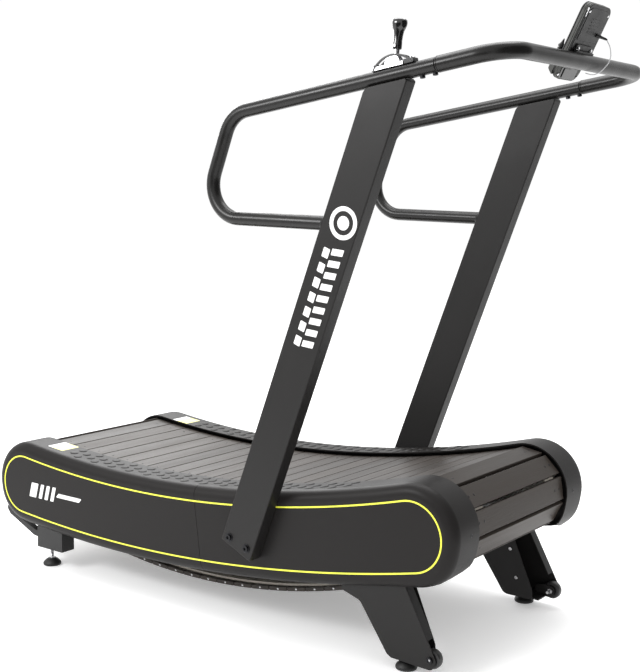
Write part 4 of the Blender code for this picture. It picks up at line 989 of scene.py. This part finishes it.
# ---- Legs, wheels and feet ----
def make_legs():
    """Folded-plate legs: outer and inner plates, a web, a front flange and a tab for the wheel's bolt."""
    outer_plate = rounded(
        [(0.415, 0.25), (0.415, 0.166), (0.4705, 0.149), (0.552, 0.034), (0.564, 0.0275),
         (0.68, 0.0225), (0.6925, 0.046), (0.603, 0.21), (0.58, 0.25)],
        [0, 0, 0.022, 0.012, 0, 0.015, 0.016, 0, 0], 6,
    )
    inner_plate = rounded(
        [(0.436, 0.3), (0.415, 0.166), (0.4705, 0.149), (0.552, 0.034), (0.564, 0.029),
         (0.644, 0.029), (0.642, 0.056), (0.576, 0.208), (0.556, 0.3)],
        [0, 0, 0.022, 0.012, 0, 0.006, 0.014, 0, 0], 6,
    )
    tab = rounded(
        [(0.628, 0.034), (0.628, 0.058), (0.66, 0.064), (0.687, 0.056), (0.683, 0.0285),
         (0.64, 0.03)], [0, 0.008, 0.012, 0.012, 0.014, 0], 6,
    )
    web = [(0.4745, 0.152), (0.5556, 0.0375), (0.5526, 0.034), (0.4705, 0.149)]
    foot_plate = [(0.554, 0.0305), (0.662, 0.03), (0.662, 0.0345), (0.554, 0.0345)]
    flange = [(0.599, 0.213), (0.664, 0.0925), (0.6668, 0.0925), (0.6018, 0.213)]
    for side, sign in SIDES.items():
        inner, outer = (tuple(sign * y for y in pair) for pair in LEG_Y)
        bm = slab(inner_plate, *inner)
        slab(outer_plate, *outer, bm=bm)
        slab(tab, *(sign * y for y in LEG_TAB_Y), bm=bm)
        whole = (inner[1] - sign * GAP, outer[0] + sign * GAP)
        slab(web, *whole, bm=bm)
        slab(foot_plate, *whole, bm=bm)
        slab(flange, outer[0] - sign * 0.026, outer[0] + sign * GAP, bm=bm)
        build(f"leg_{side}", bm, POWDER, replaces=[f"front_leg_{side}"], bevel=0.0007)
        bolts = bmesh.new()
        for x, z in ((0.5936, 0.0825), (0.573, 0.1608)):
            socket_head(Vector((x, inner[0], z)), -Y_AXIS * sign, 0.0048, 0.003, bolts)
        build(f"leg_bolts_{side}", bolts, STEEL)


def make_wheels():
    rim, half = WHEEL_RADIUS, WHEEL_HALF_WIDTH
    tyre = [
        (rim * RIM_SHARE, -half + 0.0005), (rim * 0.72, -half), (rim - 0.005, -half),
        (rim - 0.0014, -half + 0.0016),
        (rim, -half + 0.005), (rim, half - 0.005), (rim - 0.0014, half - 0.0016), (rim - 0.005, half),
        (rim * 0.72, half), (rim * RIM_SHARE, half - 0.0005),
    ]
    hub = [
        (0.0048, -half), (0.0095, -half), (0.01, -half + 0.003), (rim * 0.6, -half + 0.003),
        (rim * RIM_SHARE, -half + 0.0006), (rim * RIM_SHARE, half - 0.0006), (rim * 0.6, half - 0.003),
        (0.01, half - 0.003), (0.0095, half), (0.0048, half),
    ]
    for side in SIDES:
        joint = JOINT[f"{side}_wheel_spin"]
        middle = Vector((joint.x, SIDES[side] * WHEEL_Y, joint.z))
        body = f"wheel_{side}"
        build(f"wheel_tyre_{side}", lathe(tyre, middle, Y_AXIS, 40), TYRE, body,
              [f"transport_wheel_{side}"])
        build(f"wheel_hub_{side}", lathe(hub, middle, Y_AXIS, 40), PLASTIC, body)


def make_feet():
    pad_top, nut_top, pitch = 0.022, 0.026, 0.0014
    pad = [
        (0, 0), (0.024, 0), (0.0262, 0.0012), (0.027, 0.004), (0.0268, 0.007), (0.0254, 0.0098),
        (0.0215, 0.014), (0.017, 0.0178), (0.013, 0.02), (0.0118, 0.0215), (0.0085, 0.0222), (0, 0.0222),
    ]
    for end in ("front", "rear"):
        for side in SIDES:
            node = f"{end}_foot_{side}"
            low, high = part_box(node)
            place = Vector(((low.x + high.x) / 2, (low.y + high.y) / 2, 0))
            body = f"{end}_{side}_foot"
            build(f"{end}_foot_pad_{side}", lathe(pad, place, Z_AXIS, 40), RUBBER, body, [node])
            stud = lathe(disc(0.0072, pad_top, nut_top + 0.0002), place, Z_AXIS, 12, sides_from=1)
            thread = [(0, nut_top)]
            for k in range(int((high.z - nut_top) / pitch)):
                root = nut_top + k * pitch
                thread += [(0.0044, root), (0.0049, root + pitch / 2)]
            thread += [(0.004, high.z), (0, high.z)]
            lathe(thread, place, Z_AXIS, 24, stud)
            build(f"{end}_foot_stud_{side}", stud, STEEL, body)


def make_nuts_and_strips():
    """Nuts on the front legs' foot plates, and a bent strip from each rear bracket to the cover's end."""
    strip = [
        (-0.725, 0.08), (-0.759, 0.0845), (-0.87, 0.1325), (-0.883, 0.149), (-0.872, 0.174),
        (-0.862, 0.169), (-0.869, 0.151), (-0.858, 0.142), (-0.748, 0.101), (-0.725, 0.099),
    ]
    radii = [0, 0.01, 0.015, 0.012, 0.002, 0.002, 0.004, 0.006, 0.008, 0]
    for side, sign in SIDES.items():
        bm = bmesh.new()
        low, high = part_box(f"front_foot_{side}")
        place = Vector(((low.x + high.x) / 2, (low.y + high.y) / 2, 0.0346))
        lathe([(0.0052, 0), (0.0086, 0), (0.0086, 0.0055), (0.0052, 0.0055)], place, Z_AXIS, 24, bm)
        build(f"foot_nut_{side}", bm, STEEL)
        bar = slab(rounded(strip, radii, 4), sign * 0.303, sign * 0.323)
        build(f"rear_strip_{side}", bar, FRAME_PAINT, bevel=0.001)


# ---- Console ----
def on_console(across, up, out):
    """A console point: across to the left, up its length, and out of its back."""
    return CONSOLE_BACK + Matrix.Rotation(CONSOLE_LEAN, 3, "Y") @ Vector((out, across, up))


def console_slab(outline, low, high, bm=None):
    return slab(outline, low, high, on_console, bm)


def console_outward():
    return on_console(0, 0, 1) - on_console(0, 0, 0)


def make_console():
    """A thin slab, a lid on its back, a stepped lower back where the bar passes, and the runner's face."""
    half, low, high = CONSOLE_HALF_WIDTH, CONSOLE_BOTTOM, CONSOLE_TOP
    face = -CONSOLE_DEPTH
    corners = [(half, high), (-half, high), (-half, low), (half, low)]
    radii = [0.022, 0.022, 0.03, 0.03]
    outline = rounded(corners, radii, 10)
    shell = console_slab(outline, face + 0.004, -CONSOLE_STEP)
    build("console_shell", shell, SIDE_PLASTIC, replaces=["console_housing"],
          bevel=0.0015)
    upper_corners = [(half, high), (-half, high), (-half, 0.0), (half, 0.0)]
    upper = rounded(upper_corners, [0.022, 0.022, 0.002, 0.002], 10)
    build("console_back_shell", console_slab(upper, -CONSOLE_STEP, -0.004), SIDE_PLASTIC, bevel=0.001)
    build("console_back", console_slab(upper, -0.004, 0.0), PLASTIC, bevel=0.0024)
    inner = [(half - 0.009, high - 0.009), (-half + 0.009, high - 0.009), (-half + 0.009, 0.052),
             (half - 0.009, 0.052)]
    panel = console_slab(rounded(inner, [0.015, 0.015, 0.004, 0.004], 8), -0.0005, 0.0012)
    build("console_back_panel", panel, PLASTIC, bevel=0.0008)
    ribs = bmesh.new()
    for k in range(5):
        up = 0.074 + k * 0.008
        console_slab(rounded_box((-0.02, up), (0.02, up + 0.0026), 0.0012, 3), 0.001, 0.002, ribs)
    build("console_back_ribs", ribs, PLASTIC)
    bezel = console_slab(outline, face, face + 0.0038)
    build("console_bezel", bezel, PLASTIC, bevel=0.0015)
    window_box = rounded_box((-0.0495, 0.0605), (0.0495, 0.1275), 0.006, 6)
    window = console_slab(window_box, face - 0.0006, face + 0.0005)
    build("console_window", window, GLASS, replaces=["console_screen"], bevel=0.0002)
    make_segments(face)
    for name, across in (("left", 0.03), ("middle", 0.0), ("right", -0.03)):
        place = on_console(across, 0.042, face)
        outward = console_outward()
        cap = [(0, -0.0022), (0.0088, -0.0022), (0.0088, -0.0036), (0.0082, -0.0044), (0.006, -0.0047),
               (0, -0.0044)]
        build(f"button_cap_{name}", lathe(cap, place, outward, 32), BUTTON, f"button_{name}",
              [f"console_button_{name}"])
        ring = [(0.0092, 0.001), (0.011, 0.001), (0.0107, -0.0026), (0.0098, -0.0032), (0.0092, -0.0024)]
        build(f"button_ring_{name}", lathe(ring, place, outward, 32), PLASTIC)


def make_segments(face):
    """Pale seven-bar figures on the window: every digit stroke of a display that is off."""
    bm = bmesh.new()
    stroke, tall, wide = 0.0014, 0.008, 0.007
    for row in range(2):
        base = 0.068 + row * 0.031
        for column in range(4):
            left = -0.033 + column * 0.018
            for level in (0, 1, 2):
                up = base + level * tall
                console_slab(rectangle(left, up, left + wide, up + stroke),
                     face - 0.0009, face - 0.0006, bm)
            for across in (left, left + wide - stroke):
                for level in (0, 1):
                    up = base + level * tall + stroke * 1.3
                    console_slab(rectangle(across, up, across + stroke, up + tall - stroke * 1.6),
                         face - 0.0009, face - 0.0006, bm)
    build("display_digits", bm, LEAD)


def make_console_mount():
    """The plate with two bright screws above the bar, the lower door, and the runner's phone holder."""
    plate = console_slab(rounded([(0.043, 0.044), (-0.043, 0.044), (-0.043, 0.015), (0.043, 0.015)],
                         [0.006, 0.006, 0, 0], 6), 0.0002, 0.0045)
    console_slab(rounded_box((-0.042, 0.02), (0.042, 0.031), 0.002, 4), 0.004, 0.013, plate)
    build("console_plate", plate, PLASTIC, replaces=["console_bracket"], bevel=0.0008)
    screws = bmesh.new()
    big = [(0, 0), (0.0062, 0), (0.0064, 0.0012), (0.0052, 0.0026), (0.0022, 0.003), (0.0018, 0.0018),
           (0, 0.0018)]
    small = [(0, 0), (0.0034, 0), (0.0036, 0.0008), (0.0026, 0.0018), (0, 0.002)]
    for across in (-0.0345, 0.0345):
        lathe(big, on_console(across, 0.033, 0.0045), console_outward(), 24, screws)
    for across in (-0.05, 0.05):
        lathe(small, on_console(across, -0.037, 0.0012 - CONSOLE_STEP), console_outward(), 20, screws)
        lathe(small, on_console(across, 0.1225, 0.0), console_outward(), 20, screws)
    build("console_screws", screws, CHROME)
    slot_line = console_slab(rounded_box((-0.0604, 0.108), (-0.059, 0.13), 0.0006, 3), -0.003, 0.0003)
    build("console_edge_line", slot_line, CHROME)
    door = console_slab(rounded_box((-0.042, -0.046), (0.042, -0.018), 0.005, 5), -CONSOLE_STEP - 0.001,
                0.001 - CONSOLE_STEP)
    raised = rounded_box((-0.03, -0.044), (0.006, -0.02), 0.003, 5)
    console_slab(raised, -CONSOLE_STEP, 0.003 - CONSOLE_STEP, door)
    build("console_lower_door", door, GLOSS, bevel=0.0005)
    back = -CONSOLE_DEPTH - GAP
    holder = rounded(
        [(-0.0333, 0.0205), (-0.0333, -0.033), (-0.024, -0.04), (back, -0.0425), (back, 0.008),
         (-0.029, 0.008), (-0.029, 0.0235)], [0.001, 0.006, 0.006, 0, 0.001, 0.001, 0.001], 4,
    )
    bm = slab(holder, -0.059, 0.059, lambda out, up, across: on_console(across, up, out))
    build("phone_holder", bm, SIDE_PLASTIC, replaces=["phone_shelf"], bevel=0.001)
    clip = lathe([(0, 0), (0.0075, 0), (0.008, 0.003), (0.004, 0.01), (0.0016, 0.019), (0, 0.021)],
                 on_console(-0.05, 0.0225, -0.0305), on_console(0, 1, 0) - on_console(0, 0, 0), 24)
    build("holder_clip", clip, PLASTIC)


def round_line(name, points, radius, material, replaces):
    """A round lead through smooth points, made into a mesh."""
    curve = bpy.data.curves.new(name, "CURVE")
    curve.dimensions = "3D"
    curve.resolution_u = 16
    curve.bevel_depth = radius
    curve.bevel_resolution = 5
    curve.use_fill_caps = True
    spline = curve.splines.new("BEZIER")
    spline.bezier_points.add(len(points) - 1)
    for knot, place in zip(spline.bezier_points, points):
        knot.co = place
        knot.handle_left_type = "AUTO"
        knot.handle_right_type = "AUTO"
    source = add_object(name, curve)
    bpy.context.view_layer.update()
    bm = bmesh.new()
    bm.from_mesh(source.to_mesh())
    source.to_mesh_clear()
    bpy.data.objects.remove(source)
    bmesh.ops.remove_doubles(bm, verts=bm.verts[:], dist=1e-6)
    build(name, bm, material, replaces=replaces, sharp=60)


def make_lead():
    """A plug in the console's back and a thin pale lead that loops in front of the bar and under it."""
    start = on_console(0.036, 0.073, 0.0015)
    tip = on_console(0.057, 0.0725, 0.02)
    points = [
        tip,
        Vector((0.9015, 0.066, 1.496)),
        Vector((0.9, 0.068, 1.47)),
        Vector((0.8885, 0.064, 1.4515)),
        Vector((0.88, 0.048, 1.4385)),
        Vector((0.87, 0.038, 1.4345)),
        Vector((0.856, 0.029, 1.438)),
    ]
    round_line("sensor_lead", points, 0.0012, LEAD, ["sensor_cable"])
    reach = (tip - start).length
    profile = [(0, -0.002), (0.0046, -0.002), (0.0046, 0.008), (0.0036, 0.012), (0.003, reach - 0.004),
               (0.002, reach + 0.001), (0, reach + 0.001)]
    build("sensor_plug", lathe(profile, start, tip - start, 24), PLASTIC)


# ---- CAD nodes that stay ----
def dress_cad_nodes():
    """Gives every CAD node that is still shown its own procedural finish."""
    finishes = {
        "base_frame": FRAME_PAINT, "front_bearing": FRAME_PAINT, "rear_bearing": FRAME_PAINT,
        "front_axle": STEEL, "rear_axle": STEEL, "front_pulley": NYLON, "rear_pulley": NYLON,
        "support_roller": STEEL, "flywheel": STEEL, "magnet_arm": STEEL, "brake_cable": PLASTIC,
    }
    for name, node in frame["nodes"].items():
        for start, material in finishes.items():
            if name.startswith(start):
                node.data.materials.clear()
                node.data.materials.append(material)


# ---- Floor, light and camera ----
def stage_sheet(name, corners, material):
    """One flat face that belongs to the studio and not to the object."""
    bm = bmesh.new()
    bm.faces.new([bm.verts.new(corner) for corner in corners])
    mesh = bpy.data.meshes.new(name)
    bm.to_mesh(mesh)
    bm.free()
    mesh.materials.append(material)
    sheet = add_object(name, mesh)
    return sheet


def make_stage():
    """A faintly glowing white floor under an even white sky."""
    reach = 14.0
    pale = finish("pale floor", (0.9, 0.9, 0.9), 0.75, mottle=(0.01, 1.5), scatter=0.02)
    set_inputs(pale.node_tree.nodes["Principled BSDF"], {
        "Emission Color": (1.0, 1.0, 1.0, 1), "Emission Strength": 0.3,
    })
    stage_sheet("floor", [(x, y, 0) for x, y in rectangle(-reach, -reach, reach, reach)], pale)
    world = bpy.data.worlds.new("studio")
    world.use_nodes = True
    set_inputs(world.node_tree.nodes["Background"], {"Color": (1.0, 1.0, 1.0, 1), "Strength": 1.02})
    bpy.context.scene.world = world


def area_light(name, place, target, size, power):
    light = bpy.data.lights.new(name, "AREA")
    light.shape = "RECTANGLE"
    light.size, light.size_y = size
    light.energy = power
    made = add_object(name, light)
    made.location = place
    made.rotation_euler = (Vector(target) - Vector(place)).to_track_quat("-Z", "Y").to_euler()


def make_lights():
    area_light("overhead", (-0.3, 0.4, 3.6), (0, 0, 0.6), (3.0, 2.2), 90)
    area_light("upright_top", (-1.15, -2.6, 2.1), (0.45, -0.39, 1.35), (1.4, 0.7), 55)
    area_light("rear_left", (-3.2, 2.2, 2.6), (0, 0, 0.5), (2.0, 2.0), 60)


def make_dark_cards():
    """Dark cards ahead of the machine and on its right, which only reflections see."""
    black = finish("dark card", (0.004, 0.004, 0.004), 0.9, mottle=(0.0, 0.08))
    ahead = [(2.6, y, z) for y, z in rectangle(-2.6, 0.0, 2.6, 3.4)]
    beside = [(x, -3.6, z) for x, z in rectangle(-1.6, 0.0, 2.2, 1.6)]
    for number, corners in enumerate((ahead, beside), 1):
        card = stage_sheet(f"dark_card_{number}", corners, black)
        card.visible_camera = card.visible_diffuse = card.visible_shadow = False


def make_camera():
    azimuth, elevation, roll = (radians(a) for a in (36.92, 5.625, 0.64))
    right = Vector((cos(azimuth), sin(azimuth), 0))
    level = Vector((-sin(azimuth), cos(azimuth), 0))
    forward = level * cos(elevation) - Z_AXIS * sin(elevation)
    up = right.cross(forward)
    turned_right = right * cos(roll) + up * sin(roll)
    turned_up = up * cos(roll) - right * sin(roll)
    place = Vector((2.1288, -2.7147, 1.1681))
    camera = bpy.data.cameras.new("camera")
    camera.lens = 65.13
    camera.sensor_width = 36
    camera.shift_y = -0.049
    made = add_object("camera", camera)
    made.matrix_world = Matrix((
        *((turned_right[k], turned_up[k], -forward[k], place[k]) for k in range(3)),
        (0, 0, 0, 1),
    ))
    bpy.context.scene.camera = made


def main():
    make_covers()
    make_domes()
    make_stripes()
    make_labels()
    make_cover_print()
    make_cover_screws()
    make_slat_belt()
    make_uprights()
    make_upright_print()
    make_handrails()
    make_front_bar()
    make_bolts()
    make_gate()
    make_lever()
    make_legs()
    make_wheels()
    make_feet()
    make_nuts_and_strips()
    make_console()
    make_console_mount()
    make_lead()
    dress_cad_nodes()
    make_stage()
    make_lights()
    make_dark_cards()
    make_camera()
    bpy.context.scene.view_settings.view_transform = "Standard"


main()
